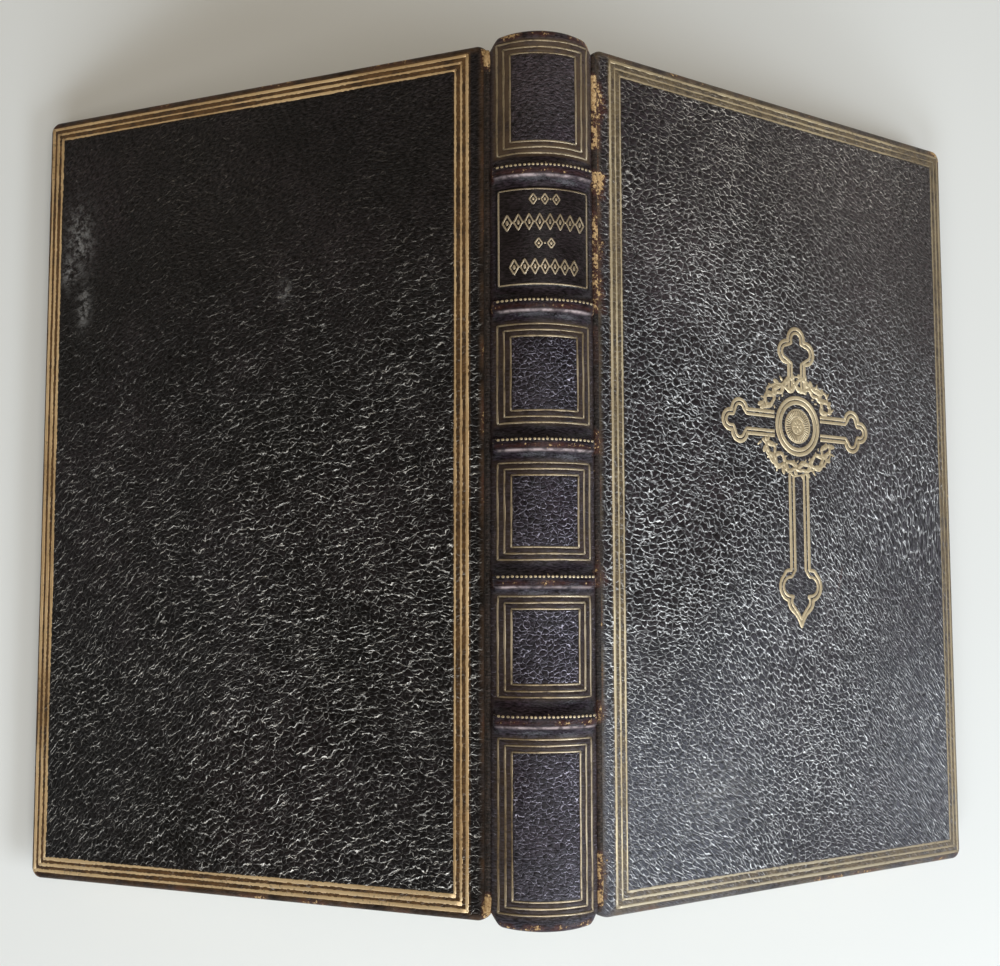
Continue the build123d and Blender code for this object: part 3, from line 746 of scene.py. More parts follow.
    # painted sheen also laid along the rubbed rounded edges
    painted_sheen = np.clip(painted_sheen + 0.40 * edge_out * np.clip(0.55 + patch, 0, 1), 0, 0.85) * face
    toned = np.clip(sstep(0.45, -0.1, border) * sstep(-3.2, -2.7, border) * (0.62 if side == "front" else 0.80) + (0.45 + 0.5 * patch) * edge_out * 0.9, 0, 1) * face
    corner = np.exp(-(((hi_u - u) / 3.5) ** 2) - (((HV - np.abs(v)) / 3.5) ** 2)) * (rimd < 2.0)
    wear = wear + corner * 0.5
    if side == "front":
        near = sstep(4.4, 0.6, u + 1.2 * nz.fbm(u, v, 0.3, 2)) * sstep(2.9, 1.4, dep)
        run = np.zeros(u.shape)
        for y0, y1, s in ((62, 76, 1.0), (52.5, 58, 1.0), (30, 51, 0.75), (20, 28, 0.35), (3, 8, 0.6), (-22, -17, 0.55), (-47, -42, 0.55), (-79, -70, 0.7), (-13, -2, 0.25), (-38, -28, 0.25), (-66, -56, 0.3)):
            run = np.maximum(run, s * sstep(y0 - 1.2, y0 + 0.6, v) * (1 - sstep(y1 - 0.6, y1 + 1.2, v)))
        wear = np.maximum(wear, near * run * (0.55 + 0.45 * nz.fbm(u, v, 0.35, 3)) * 1.0)
    else:
        near = sstep(2.2, 0.4, u) * sstep(2.9, 1.4, dep)
        wear = np.maximum(wear, near * sstep(0.1, 0.7, nz.fbm(u + 3, v, 0.16, 2)) * 0.42)
        wear = np.maximum(wear, near * sstep(76, 80, np.abs(v)) * 0.8)
    if side == "front":
        wear = np.maximum(wear, 0.36 * np.exp(-(((u - 68.4 - 0.3 * (v + 19.7)) / 0.7) ** 2) - (((v + 19.7) / 5.0) ** 2)))
    wear = np.clip(wear, 0, 1) * (dep < 2.9)
    scuff = np.zeros(u.shape)
    if side == "back":
        for cu, cv, ru, rv in ((98.5, 55.0, 3.2, 6.5), (101.0, 48.5, 2.2, 3.4), (97.0, 40.0, 1.6, 4.2), (45.3, 38.6, 1.1, 1.7)):
            scuff = np.maximum(scuff, np.exp(-(((u - cu) / ru) ** 2) - (((v - cv) / rv) ** 2)))
    else:
        for cu, cv, ru, rv in ((64.5, -22.0, 1.2, 4.5), (30, -62, 9, 6)):
            scuff = np.maximum(scuff, 0.45 * np.exp(-(((u - cu) / ru) ** 2) - (((v - cv) / rv) ** 2)))
    # the grain's own coordinates follow the flow of the hide and run on over the edges
    uo, vo_ = u + np.sign(IU) * dep * 0.9, v + np.sign(IV) * dep * 0.9
    far_v = -190.0 if side == "front" else -215.0
    rad = np.hypot(uo + 15.0, vo_ - far_v)
    turn = np.arctan2(uo + 15.0, vo_ - far_v) - 0.36
    fine = (sstep(45, 95, uo) * sstep(15, -55, vo_) + 0.22 * sstep(-40, -74, vo_) * sstep(60, 25, uo)) * (1.0 if side == "front" else 0.0)
    sx = (turn * rad - 50) * (1 - 0.30 * fine) + 50 + 2.4 * nz.fbm(uo, vo_, 0.045, 2)
    sy = (rad - 165) * (1 + 0.75 * fine) + 165 + 2.6 * nz.fbm(uo + 70, vo_ + 20, 0.04, 2)
    if side == "front":
        sy = sy + 14 * (0.4 - np.exp(-np.clip(uo, -3, 200) / 25)) * sstep(-22, -60, vo_)
    skin = np.stack([sx, sy, np.zeros(u.shape)], -1)
    P = cover_point(sg, u, v, d)
    faces = grid_faces(nu, nv)
    # close the recess behind the pastedown with the loop of the grid's border
    idx = np.arange(nu * nv).reshape(nu, nv)
    loop = list(idx[:, 0]) + list(idx[-1, 1:]) + list(idx[-2::-1, -1]) + list(idx[0, -2:0:-1])
    faces.append(loop[::-1])
    ob = new_object(side + "_cover_skin", P, faces, mat, attrs={"grain": grain, "wear": wear, "bloom_and_highlight": bloom_and_highlight, "scuff": scuff, "painted_sheen": painted_sheen, "toned": toned, "skin": skin})
    tidy(ob, 4e-6)
    apply_grain(ob)
    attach(ob, side + "_cover")
    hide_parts(side + "_cover_leather")

    # gilt fillets
    s = Soup()
    rs = np.random.RandomState(5 + sg)
    def lift(p, h):
        return cover_point(sg, p[:, 0], p[:, 1], 0.055 - np.asarray(h))
    for i in range(3):
        a0, a1, b = LINES_U0 - i * PITCH, LINES_U1 + i * PITCH, LINES_V + i * PITCH
        corners = [(a0, -b), (a1, -b), (a1, b), (a0, b)]
        for c in range(4):
            p, q = np.array(corners[c], float), np.array(corners[(c + 1) % 4], float)
            n = int(np.linalg.norm(q - p) / 1.2)
            t = np.linspace(0, 1, n)[:, None]
            pts = p + (q - p) * t
            wob = nz.fbm(np.linspace(0, n * 0.2, n) + 31 * c, np.full(n, 7.0 * i), 1.0, 2) * 0.05
            perp = np.array([-(q - p)[1], (q - p)[0]]) / np.linalg.norm(q - p)
            pts = pts + perp * wob[:, None]
            ext = (q - p) / np.linalg.norm(q - p) * 0.18
            pts[0] -= ext
            pts[-1] += ext
            w = ((0.92, 0.86, 0.72, 0.72) if side == "back" else (0.74, 0.70, 0.72, 0.64))[c] + 0.12 * nz.fbm(np.linspace(0, n * 0.6, n), np.full(n, 3.0 * c + i), 1.0, 2)
            s.ribbon(pts, w, lift, -0.05, 0.07 if i == 2 or (side == "back" and c < 2) else 0.035)
    go = s.object(side + "_gilt_fillets", gilt_mat)
    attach(go, side + "_cover")
    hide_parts(side + "_gilt_border")
    return ob


STEP = 0.42
front_skin = make_cover("front", M_FRONT, M_GILT_R, STEP)
back_skin = make_cover("back", M_BACK, M_GILT_L, STEP)


# ---------------------------------------------------------------- gilt cross
def arc(cx, cy, r, a0, a1, n=12, ry=None):
    a = np.radians(np.linspace(a0, a1, n))
    return np.stack([cx + r * np.cos(a), cy + (ry or r) * np.sin(a)], 1)


def trefoil_end(grow, r0, side, drop, top_y):
    """Three-lobed end of an arm, pointing up from y = 0, from the right side over the top to the left."""
    r = r0 + grow
    ro = r0 + 0.46
    gap = math.hypot(side, drop - top_y)
    to_side = math.degrees(math.atan2(-(drop - top_y), side))
    open_ = math.degrees(math.acos(min(gap / 2 / ro, 1)))
    notch = np.array([ro * math.cos(math.radians(to_side + open_)), -top_y + ro * math.sin(math.radians(to_side + open_))])
    body = np.array([0.0, -(top_y + drop) / 2])
    pull = body - notch
    cusp = notch + pull / np.linalg.norm(pull) * (0.46 - grow) * 1.05
    side_end, top_start = 180 + to_side - open_, to_side + open_
    if grow < 0:
        side_end, top_start = side_end - 16, top_start + 12
    right = np.concatenate([arc(side, -drop, r, -78, side_end, 14), cusp[None, :], arc(0, -top_y, r, top_start, 90, 9)])
    mirror = right[::-1] * (-1, 1)
    return np.concatenate([right, mirror[1:]])


def cross_outline(grow):
    """The cross's outline about its ring's centre, as four open runs, moved out by a margin."""
    bar, arm = 1.92 + grow, 2.06 + grow
    top = trefoil_end(grow, 1.95, 2.80, 5.3, 2.4) + (0, 21.4)
    top = np.concatenate([[(bar, 7.2)], [(bar, 21.4 - 7.75)], top, [(-bar, 21.4 - 7.75)], [(-bar, 7.2)]])
    left = trefoil_end(grow, 1.66, 2.35, 4.7, 2.12)
    left = np.stack([-(left[:, 1] + 21.6), left[:, 0]], 1)
    left = np.concatenate([[(-6.9, arm)], [(-21.6 + 6.7, arm)], left, [(-21.6 + 6.7, -arm)], [(-6.9, -arm)]])
    right = -left
    r = 2.55 + grow
    leg = 2.21 + (grow if grow > 0 else 1.35 * grow)
    half = np.concatenate([
        [(leg, -10.6)], [(leg, -31.2)],
        arc(3.05, -34.2, r, 100, -74 if grow > 0 else -96, 16),
        [(3.62, -36.9)] if grow > 0 else [(2.05, -36.35)],
        arc(1.15, -37.3, 2.05 + grow, 8 if grow > 0 else 26, -52, 8),
        [(1.35 + grow * 0.7, -39.9 - grow * 0.3), (0.72 + grow * 0.5, -40.7 - grow * 0.4), (0.30 + grow * 0.3, -41.4 - 0.8 * grow), (0, -42.1 - 1.5 * grow)],
    ])
    half = np.array([(x, y - 0.5 if y < -31.5 else y) for x, y in half])
    foot = np.concatenate([half, (half * (-1, 1))[::-1][1:]])
    return top, left, foot, right


def spaced(p, step=0.28):
    p = np.asarray(p, float)
    s = np.concatenate([[0], np.cumsum(np.linalg.norm(np.diff(p, axis=0), axis=1))])
    keep = np.concatenate([[True], np.diff(s) > 1e-6])
    p, s = p[keep], s[keep]
    t = np.linspace(0, s[-1], max(int(s[-1] / step), 3))
    return np.stack([np.interp(t, s, p[:, 0]), np.interp(t, s, p[:, 1])], 1)


def make_cross():
    s = Soup()
    def lift(p, h):
        return cover_point(1, CU + 1.03 * p[:, 0], CV + 0.98 * p[:, 1], 0.045 - np.asarray(h))
    for grow, w in ((0.46, 0.86), (-0.50, 0.72)):
        for seg in cross_outline(grow):
            s.ribbon(spaced(seg), w, lift, -0.04, 0.10)
    # broad double ring
    for r, w in ((6.17, 0.95), (5.14, 0.98)):
        s.ribbon(arc(0, 0, r, 0, 357, 120), w, lift, -0.04, 0.11, closed=True)
    # medallion: rim, rays and a plain eight-petal rosette
    s.dome((0, 0), 1.9, 1.9, lift, -0.04, 0.08, seg=40)
    s.ribbon(arc(0, 0, 3.62, 0, 355, 72), 0.42, lift, -0.04, 0.11, closed=True)
    for i in range(38):
        a = i * 2 * math.pi / 38
        r = np.linspace(1.85, 3.55, 5)
        s.ribbon(np.stack([r * math.cos(a), r * math.sin(a)], 1), [0.23, 0.29, 0.36, 0.42, 0.45], lift, -0.04, 0.115)
    s.ribbon(arc(0, 0, 1.72, 0, 352, 48), 0.24, lift, 0.0, 0.14, closed=True)
    for i in range(8):
        a = i * math.pi / 4
        s.dome((0.98 * math.cos(a), 0.98 * math.sin(a)), 0.46, 0.22, lift, 0.0, 0.14, ang=a, seg=12)
    s.dome((0, 0), 0.38, 0.38, lift, 0.0, 0.16, seg=14)
    # twined wreath round the ring, passing behind the arms
    rs = np.random.RandomState(8)
    strand = np.linspace(0, 2 * math.pi, 420)[:-1]
    for ph, amp, mean, wd in ((0.0, 1.25, 9.1, 1.1), (math.pi, 1.25, 9.1, 1.1), (math.pi / 2, 0.5, 10.4, 0.55)):
        rr = mean + amp * (0.85 + 0.3 * np.sin(strand * 5 + 2 * ph)) * np.sin(strand * 8 + ph + 0.35 * np.sin(strand * 3)) + 0.16 * np.sin(strand * 23 + ph * 2)
        pts = np.stack([1.1 * rr * np.cos(strand), rr * np.sin(strand)], 1)
        blocked = np.abs(pts[:, 1]) < 3.25
        run = []
        for i in range(len(pts) + 1):
            if i < len(pts) and not blocked[i]:
                run.append(pts[i])
            elif len(run) > 6:
                s.ribbon(np.array(run), wd * (1 + 0.28 * np.sin(np.linspace(0, 31, len(run)) + ph)), lift, -0.04, 0.11)
                run = []
            else:
                run = []
        if ph != math.pi / 2:                # swellings along the strands
            for i in range(3, len(pts), 8):
                if not blocked[i]:
                    q = pts[(i + 1) % len(pts)] - pts[i - 1]
                    s.dome(pts[i] + rs.uniform(-0.12, 0.12, 2), 0.62, 0.36, lift, -0.04, 0.15, ang=math.atan2(q[1], q[0]) + rs.uniform(-0.3, 0.3), seg=10)
    for i in range(40):
        a = (i + 0.5) * 2 * math.pi / 40
        r = 10.6 + 0.35 * math.sin(a * 9 + 1.2)
        x, y = 1.1 * r * math.cos(a), r * math.sin(a)
        if abs(y) < 3.6:
            continue
        if i % 2:
            s.dome((x * 0.99, y * 0.99), 0.9, 0.5, lift, -0.04, 0.12, ang=a + rs.uniform(0.4, 1.0), seg=10)
        else:
            tip = np.array([(r - 0.3, 0.0), (r + 0.35, 0.10), (r + 0.9, 0.28)])
            ca, sa = 1.1 * math.cos(a), math.sin(a)
            s.ribbon(np.stack([tip[:, 0] * ca - tip[:, 1] * sa, tip[:, 0] * sa + tip[:, 1] * ca], 1), [0.7, 0.55, 0.32], lift, -0.04, 0.10)
        xi, yi = 7.75 * math.cos(a + 0.05), 7.75 * math.sin(a + 0.05)
        if abs(yi) > 3.4 and i % 3:
            s.dome((xi, yi), 0.42, 0.22, lift, -0.04, 0.09, ang=a - 0.8, seg=8)
    ob = s.object("front_gilt_cross_tooled", M_GILT_R)
    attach(ob, "front_cover")
    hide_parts("front_gilt_cross")


make_cross()


# ---------------------------------------------------------------- spine
def cap_y(x):
    """Half length of the spine at plan position x: the caps are rounded in plan."""
    x = np.abs(np.asarray(x, float))
    y = SPINE_HALF - 0.45 * (x / 9.5) ** 2
    return y - 2.3 * sstep(8.2, 10.6, x) ** 1.3


def make_spine():
    nz = Noise2(21)
    th1 = math.asin((A - 0.18) / SR)
    tt = np.linspace(-1, 1, 73)
    # denser towards the tooled lines at the sides
    special = [s * (PX - k * PP) for k in range(3) for s in (1, -1)]
    xs = axis_lines(-SR * math.sin(th1), SR * math.sin(th1), 0.36, special)
    ycore = []
    sp = []
    for hi, lo in PANELS:
        for k in range(3):
            sp += [hi - k * PP, lo + k * PP]
    ys = axis_lines(-79.9, 79.9, 0.36, sp)
    ys = np.unique(np.concatenate([[y for y in ys if min(abs(abs(y - b) - 1.25) for b in BAND_Y) > 0.45], [b + s * o for b in BAND_Y for s in (1, -1) for o in (0.82, 0.95, 1.03, 1.12, 1.24, 1.4, 1.58)]]))
    # profile at each end: in y from the cap's outline, and height over the skin
    lip = [(-3.0, 0.0), (-2.4, 0.02), (-1.9, 0.05), (-1.4, 0.05), (-0.95, 0.01), (-0.55, -0.09), (-0.24, -0.30), (-0.06, -0.62), (0.0, -1.1), (-0.02, -1.9), (-0.2, -2.6), (-0.6, -3.15), (-1.1, -3.35), (-1.6, -3.2), (-1.9, -2.6), (-2.0, -1.7), (-2.05, -0.82)]
    n_in = len(ys)
    rows_y, rows_h, kind = [], [], []
    X = xs
    def end_rows(sign):
        out = []
        for oy, h in lip:
            fade = sstep(7.6, 5.6, np.abs(X))
            hh = np.where(h < -0.8, -0.8 + (h + 0.8) * fade, h)
            yy = cap_y(X) + np.where(h < -0.8, -np.maximum(-oy, (1 - fade) * 1.2) if False else oy, oy)
            out.append((sign * yy, hh))
        return out
    outer = [(np.full(len(X), y), np.zeros(len(X))) for y in ys]
    # squeeze the last rows in so that they never pass the cap's rows
    head = end_rows(1)
    tail = end_rows(-1)[::-1]
    outer_rows = []
    for y, h in outer:
        lim = cap_y(X) - 3.15
        yy = np.where(np.abs(y) > 77.0, np.sign(y) * (77.0 + (np.abs(y) - 77.0) * (lim - 77.0) / (79.9 - 77.0)), y)
        outer_rows.append((yy, h))
    # inner surface: same count, straight
    inner_rows = [(np.sign(y) * np.minimum(np.abs(y), 78.5), np.full(len(X), -0.8)) for y, h in outer_rows[::-1]]
    loop = outer_rows + head + inner_rows + tail
    n, mcols = len(loop), len(X)
    Y = np.stack([r[0] for r in loop])
    Hh = np.stack([r[1] for r in loop])
    XX = np.broadcast_to(X, Y.shape).copy()
    is_outer = np.zeros(n, bool)
    is_outer[: len(outer_rows) + 9] = True
    is_outer[-9:] = True
    inner = np.zeros(n, bool)
    inner[len(outer_rows) + len(head): len(outer_rows) + len(head) + len(inner_rows)] = True
    th = np.arcsin(np.clip(XX / SR, -1, 1))
    bh = band_height(XX, Y) * np.where(inner, 0, 1)[:, None]
    out_mask = is_outer[:, None] * sstep(-0.9, -0.2, Hh)
    g = line_groove(XX, Y)
    und = 0.06 * nz.fbm(XX, Y, 0.12, 3) * out_mask
    rho = SR + Hh + bh + und - 0.10 * g * out_mask - 0.05
    # the panels are faintly hollow
    for hi, lo in PANELS + (TITLE,):
        c, half = (hi + lo) / 2, (hi - lo) / 2
        rho -= out_mask * 0.12 * sstep(half + 1.0, half - 3.0, np.abs(Y - c)) * sstep(9.0, 6.0, np.abs(XX))
    P = np.stack([rho * np.sin(th), Y, AXZ + rho * np.cos(th)], -1) * MM
    # grain: strong inside the panels, faint between the lines, none on the bands
    grain = np.full(Y.shape, 0.12)
    for hi, lo in PANELS:
        inp = (Y < hi - 2 * PP - 0.3) & (Y > lo + 2 * PP + 0.3) & (np.abs(XX) < PX - 2 * PP - 0.3)
        grain = np.where(inp, 0.85, grain)
    grain = np.where(np.abs(XX) > PX + 0.3, 0.3, grain)
    for b in BAND_Y:
        grain = np.where(np.abs(Y - b) < 4.2, 0.05, grain)
    grain = grain * out_mask
    # pale creases, partly painted highlight: stronger towards the tail and on the right side, which face the light
    bloom_and_highlight = np.clip(0.18 + 0.45 * sstep(80, -30, Y) + 0.25 * nz.fbm(XX, Y, 0.1, 3) + 0.15 * sstep(0, 7, XX), 0, 1)
    bloom_and_highlight = bloom_and_highlight * (1 - 0.45 * sstep(50, 62, Y))
    # painted sheen: a pale film standing for the lamp's reflection, at the head and tail ends of the spine
    painted_sheen = np.clip(0.08 + 0.26 * sstep(50, 72, Y) + 0.20 * sstep(-40, -72, Y) + 0.14 * nz.fbm(XX + 7, Y, 0.12, 3), 0, 0.5) * out_mask
    toned = np.zeros(Y.shape)
    for k, (hi, lo) in enumerate(PANELS):
        q = np.minimum.reduce([hi - Y, Y - lo, PX - np.abs(XX)])
        toned = np.maximum(toned, sstep(-0.9, -0.3, q) * sstep(2 * PP + 0.35, 2 * PP - 0.1, q) * (0.95, 0.40, 0.35, 0.35, 0.45)[k])
    toned = np.clip(toned + 0.25 * sstep(8.9, 9.9, np.abs(XX)), 0, 1) * out_mask
    painted_band_highlight = np.zeros(Y.shape)
    wear, polish = np.zeros(Y.shape), np.zeros(Y.shape)
    for b in BAND_Y:
        ridge = np.exp(-(((Y - b + 0.35) / 0.8) ** 2)) * sstep(9.6, 8.0, np.abs(XX))
        wear = np.maximum(wear, ridge * (0.36 + 0.22 * nz.fbm(XX, Y, 0.4, 3)))
        polish = np.maximum(polish, sstep(3.4, 2.2, np.abs(Y - b)) * sstep(9.8, 8.6, np.abs(XX)))
        # painted highlight: a thin pale line along the tail-side shoulder of each band
        painted_band_highlight = np.maximum(painted_band_highlight, np.exp(-(((Y - b + 1.16) / 0.20) ** 2)) * sstep(8.9, 7.6, np.abs(XX)) * np.clip(0.75 + 0.9 * nz.fbm(XX, np.full(Y.shape, b), 0.35, 2), 0, 1))
        ends = np.exp(-(((Y - b) / 1.8) ** 2)) * np.exp(-(((np.abs(XX) - 9.2) / 0.8) ** 2))
        wear = np.maximum(wear, ends * (0.52 + 0.4 * nz.fbm(XX + 4, Y, 0.5, 2)) * np.where(XX > 0, 1.1, np.where(Y > 20, 1.05, 0.6)))
    capz = sstep(2.2, 0.6, cap_y(XX) - np.abs(Y))
    wear = np.maximum(wear, capz * (np.where(Y < 0, 0.38, 0.31) + 0.5 * nz.fbm(XX + 40, Y * 0.6, 0.55, 3)))
    # right-hand side of the spine is rubbed along the joint
    wear = np.maximum(wear, sstep(9.3, 10.1, XX) * (0.16 + 0.6 * nz.fbm(XX, Y, 0.14, 3)))
    wear = np.clip(wear, 0, 1) * out_mask
    faces = grid_faces(n, mcols, wrap=True)
    # side walls: outer and inner rows have the same count
    idx = np.arange(n * mcols).reshape(n, mcols)
    for col in (0, mcols - 1):
        ring = list(idx[:, col])
        no = len(outer_rows)
        a0 = 0
        for i in range(no - 1):
            oi, oj = i, i + 1
            ii, ij = no + len(head) + (no - 1 - i), no + len(head) + (no - 2 - i)
            faces.append((idx[oi, col], idx[oj, col], idx[ij, col], idx[ii, col]))
        # ends of the lips
        hd = [idx[i, col] for i in range(no - 1, no + len(head) + 1)]
        tl = [idx[i % n, col] for i in range(no + len(head) + no - 1, n + 1)]
        faces.append(hd)
        faces.append(tl)
    ob = new_object("spine_skin", P, faces, M_SPINE, attrs={"grain": grain, "wear": wear, "bloom_and_highlight": bloom_and_highlight, "scuff": np.zeros(Y.shape), "polish": polish, "ridge": painted_band_highlight, "toned": toned, "painted_sheen": painted_sheen, "skin": np.stack([XX, Y, np.zeros(Y.shape)], -1)})
    tidy(ob, 3e-6)
    apply_grain(ob, 0.07)
    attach(ob, "spine")
    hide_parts("spine_leather")


make_spine()


def make_spine_gilt():
    nz = Noise2(33)
    s = Soup()
    def lift(p, h):
        base = -0.11
        hollow = np.zeros(len(p))
        for hi, lo in PANELS + (TITLE,):
            c, half = (hi + lo) / 2, (hi - lo) / 2
            hollow -= 0.12 * sstep(half + 1.0, half - 3.0, np.abs(p[:, 1] - c)) * sstep(9.0, 6.0, np.abs(p[:, 0]))
        und = 0.06 * Noise2(21).fbm(p[:, 0], p[:, 1], 0.12, 3) + 0.02 + 0.09 * sstep(79.6, 80.6, np.abs(p[:, 1]))
        return spine_point(p[:, 0], p[:, 1], base + hollow + und + np.asarray(h))
    for pi, (hi, lo) in enumerate(PANELS):
        for k in range(3):
            x, t, b = PX - k * PP, hi - k * PP, lo + k * PP
            cs = [(-x, b), (x, b), (x, t), (-x, t)]
            for c in range(4):
                p, q = np.array(cs[c], float), np.array(cs[(c + 1) % 4], float)
                n = max(int(np.linalg.norm(q - p) / 0.6), 12)
                pts = p + (q - p) * np.linspace(0, 1, n)[:, None]
                perp = np.array([-(q - p)[1], (q - p)[0]]) / np.linalg.norm(q - p)
                pts = pts + perp * (nz.fbm(np.linspace(0, n * 0.15, n) + 13 * c + 7 * k, np.full(n, 5.0 * pi), 1.0, 2) * 0.06)[:, None]
                w = 0.34 + 0.10 * nz.fbm(np.linspace(0, n * 0.4, n), np.full(n, 3.0 * c + k + pi), 1.0, 2)
                s.ribbon(pts, w, lift, -0.05, 0.05)
    ob = s.object("spine_gilt_lines", M_GILT_S)
    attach(ob, "spine")
    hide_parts("spine_gilt_frames")
    # dotted rolls on the bands, with small end rings and a bud at the middle
    d = Soup()
    rs = np.random.RandomState(3)
    def lift2(p, h):
        return spine_point(p[:, 0], p[:, 1], -0.135 + 0.06 * Noise2(21).fbm(p[:, 0], p[:, 1], 0.12, 3) + np.asarray(h))
    for b in BAND_Y:
        y = b + 0.80
        xs_ = np.arange(-8.0, 8.6, 0.74)
        for x in xs_:
            xa = x + rs.uniform(-0.05, 0.05)
            d.dome((xa, y + rs.uniform(-0.04, 0.04)), 0.29, 0.27, lift2, -0.03, 0.12, seg=10)
        for x in (-8.75, 8.9):
            d.ribbon(arc(x, y - 0.1, 0.42, 0, 340, 18), 0.2, lift2, -0.03, 0.08, closed=True)
        d.dome((0.1, y + 0.42), 0.22, 0.42, lift2, -0.03, 0.08, seg=10)
        d.dome((-0.4, y + 0.3), 0.16, 0.34, lift2, -0.03, 0.07, ang=0.7, seg=10)
        d.dome((0.6, y + 0.3), 0.16, 0.34, lift2, -0.03, 0.07, ang=-0.7, seg=10)
    ob = d.object("spine_band_tooling", M_GILT_R)
    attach(ob, "spine")


make_spine_gilt()


def make_title():
    """Smooth panel of the second compartment, with a border line and plain ornament rows, no letters."""
    nz = Noise2(41)
    hi, lo = TITLE
    xs_ = np.linspace(-PX - 0.15, PX + 0.15, 40)
    ys_ = np.linspace(lo, hi, 46)
    X, Y = np.meshgrid(xs_, ys_, indexing="ij")
    c, half = (hi + lo) / 2, (hi - lo) / 2
    hollow = -0.12 * sstep(half + 1.0, half - 3.0, np.abs(Y - c)) * sstep(9.0, 6.0, np.abs(X))
    rim = np.minimum(PX + 0.15 - np.abs(X), half - np.abs(Y - c))
    topz = hollow + 0.05 * sstep(0.0, 0.5, rim) + 0.02 * nz.fbm(X, Y, 0.2, 3) + 0.06 * Noise2(21).fbm(X, Y, 0.12, 3)
    P = np.concatenate([spine_point(X, Y, topz).reshape(-1, 3), spine_point(X, Y, -0.25).reshape(-1, 3)])
    n, m = X.shape
    f = grid_faces(n, m) + [q[::-1] for q in grid_faces(n, m, n * m)]
    idx = np.arange(n * m).reshape(n, m)
    ring = list(idx[:, 0]) + list(idx[-1, 1:]) + list(idx[-2::-1, -1]) + list(idx[0, -2:0:-1])
    for a, b in zip(ring, ring[1:] + ring[:1]):
        f.append((a, b, b + n * m, a + n * m))
    k = P.shape[0]
    ob = new_object("title_panel", P, f, M_LABEL, attrs={"grain": np.full(k, 0.25), "wear": np.clip(np.concatenate([0.02 + 0.22 * nz.fbm(X, Y, 0.4, 3).ravel()] * 2), 0, 1), "bloom_and_highlight": np.full(k, 0.4), "scuff": np.zeros(k), "skin": np.concatenate([np.stack([X, Y, 0 * X], -1).reshape(-1, 3)] * 2)})
    tidy(ob)
    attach(ob, "spine")
    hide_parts("title_label")
    s = Soup()
    def lift(p, h):
        hol = -0.12 * sstep(half + 1.0, half - 3.0, np.abs(p[:, 1] - c)) * sstep(9.0, 6.0, np.abs(p[:, 0]))
        und = 0.06 * Noise2(21).fbm(p[:, 0], p[:, 1], 0.12, 3)
        return spine_point(p[:, 0], p[:, 1], hol + und + 0.05 + np.asarray(h))
    x = PX - 0.35
    for p, q in (((-x, hi - 0.45), (x, hi - 0.45)), ((-x, lo + 0.45), (x, lo + 0.45)), ((-x, lo + 0.45), (-x, hi - 0.45)), ((x, lo + 0.45), (x, hi - 0.45))):
        p, q = np.array(p), np.array(q)
        s.ribbon(p + (q - p) * np.linspace(0, 1, 36)[:, None], 0.3, lift, -0.04, 0.035)
    def lozenge(cx, cy, w, h):
        pts = np.array([(cx - w, cy), (cx, cy + h), (cx + w, cy), (cx, cy - h)])
        pts = spaced(np.concatenate([pts, pts[:1]]), 0.2)[:-1]
        s.ribbon(pts, 0.34, lift, -0.04, 0.08, closed=True)
        s.dome((cx, cy), 0.26, 0.34 * h, lift, -0.04, 0.08, seg=10)
    for cy, xs2, w, h in ((50.6, np.linspace(-2.2, 2.2, 3), 0.7, 1.0), (46.3, np.linspace(-6.9, 6.9, 8), 0.78, 1.5), (42.2, np.linspace(-1.2, 1.2, 2), 0.7, 0.95), (37.8, np.linspace(-5.7, 5.7, 7), 0.76, 1.45)):
        for i, cx in enumerate(xs2):
            lozenge(cx, cy, w, h)
        mids = (xs2[1:] + xs2[:-1]) / 2
        for cx in mids:
            s.dome((cx, cy), 0.2, 0.2, lift, -0.04, 0.06, seg=10)
    ob = s.object("title_panel_tooling", M_GILT_S)
    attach(ob, "spine")


make_title()


# ---------------------------------------------------------------- joints
def make_joint(side):
    sg = 1 if side == "front" else -1
    nz = Noise2(51 if sg > 0 else 52)
    n, seg = 400, 16
    y = np.linspace(-81.0, 81.0, n)
    a = np.arange(seg) * 2 * math.pi / seg
    YY, AA = np.meshgrid(y, a, indexing="ij")
    r = 0.74 + 0.05 * nz.fbm(YY, AA * 3, 0.5, 3)
    end = sstep(0, 1.2, 81.0 - np.abs(YY))
    r = r * (0.45 + 0.55 * end)
    P = np.stack([sg * A + r * np.cos(AA), YY, ZJ + r * np.sin(AA)], -1) * MM
    f = grid_faces(n, seg)
    for i in range(n - 1):
        f.append((i * seg + seg - 1, (i + 1) * seg + seg - 1, (i + 1) * seg, i * seg))
    f.append(tuple(range(seg)))
    f.append(tuple((n - 1) * seg + j for j in range(seg))[::-1])
    if side == "front":
        wear = 0.15 + 0.35 * nz.fbm(YY, AA, 0.12, 3)
        for y0, y1, s in ((62, 77, 1.0), (52.5, 58, 1.0), (30, 51, 0.8), (20, 28, 0.4), (3, 8, 0.7), (-22, -17, 0.6), (-47, -42, 0.6), (-80, -70, 0.8)):
            wear = np.maximum(wear, s * (0.62 + 0.4 * nz.fbm(YY, AA, 0.5, 3)) * sstep(y0 - 1, y0 + 1, YY) * (1 - sstep(y1 - 1, y1 + 1, YY)))
    else:
        wear = 0.05 + 0.25 * nz.fbm(YY, AA, 0.12, 3)
        wear = np.maximum(wear, 0.95 * sstep(75.5, 79.5, np.abs(YY)))
    ob = new_object(side + "_joint_roll", P, f, M_JOINT, attrs={"grain": np.full(P.shape[:2], 0.3), "wear": np.clip(wear, 0, 1), "bloom_and_highlight": np.full(P.shape[:2], 0.4), "scuff": np.zeros(P.shape[:2]), "skin": np.stack([AA * 0.8, YY, 0 * YY], -1)})
    tidy(ob)
    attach(ob, "spine")
    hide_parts(side + "_joint_leather")


make_joint("front")
make_joint("back")


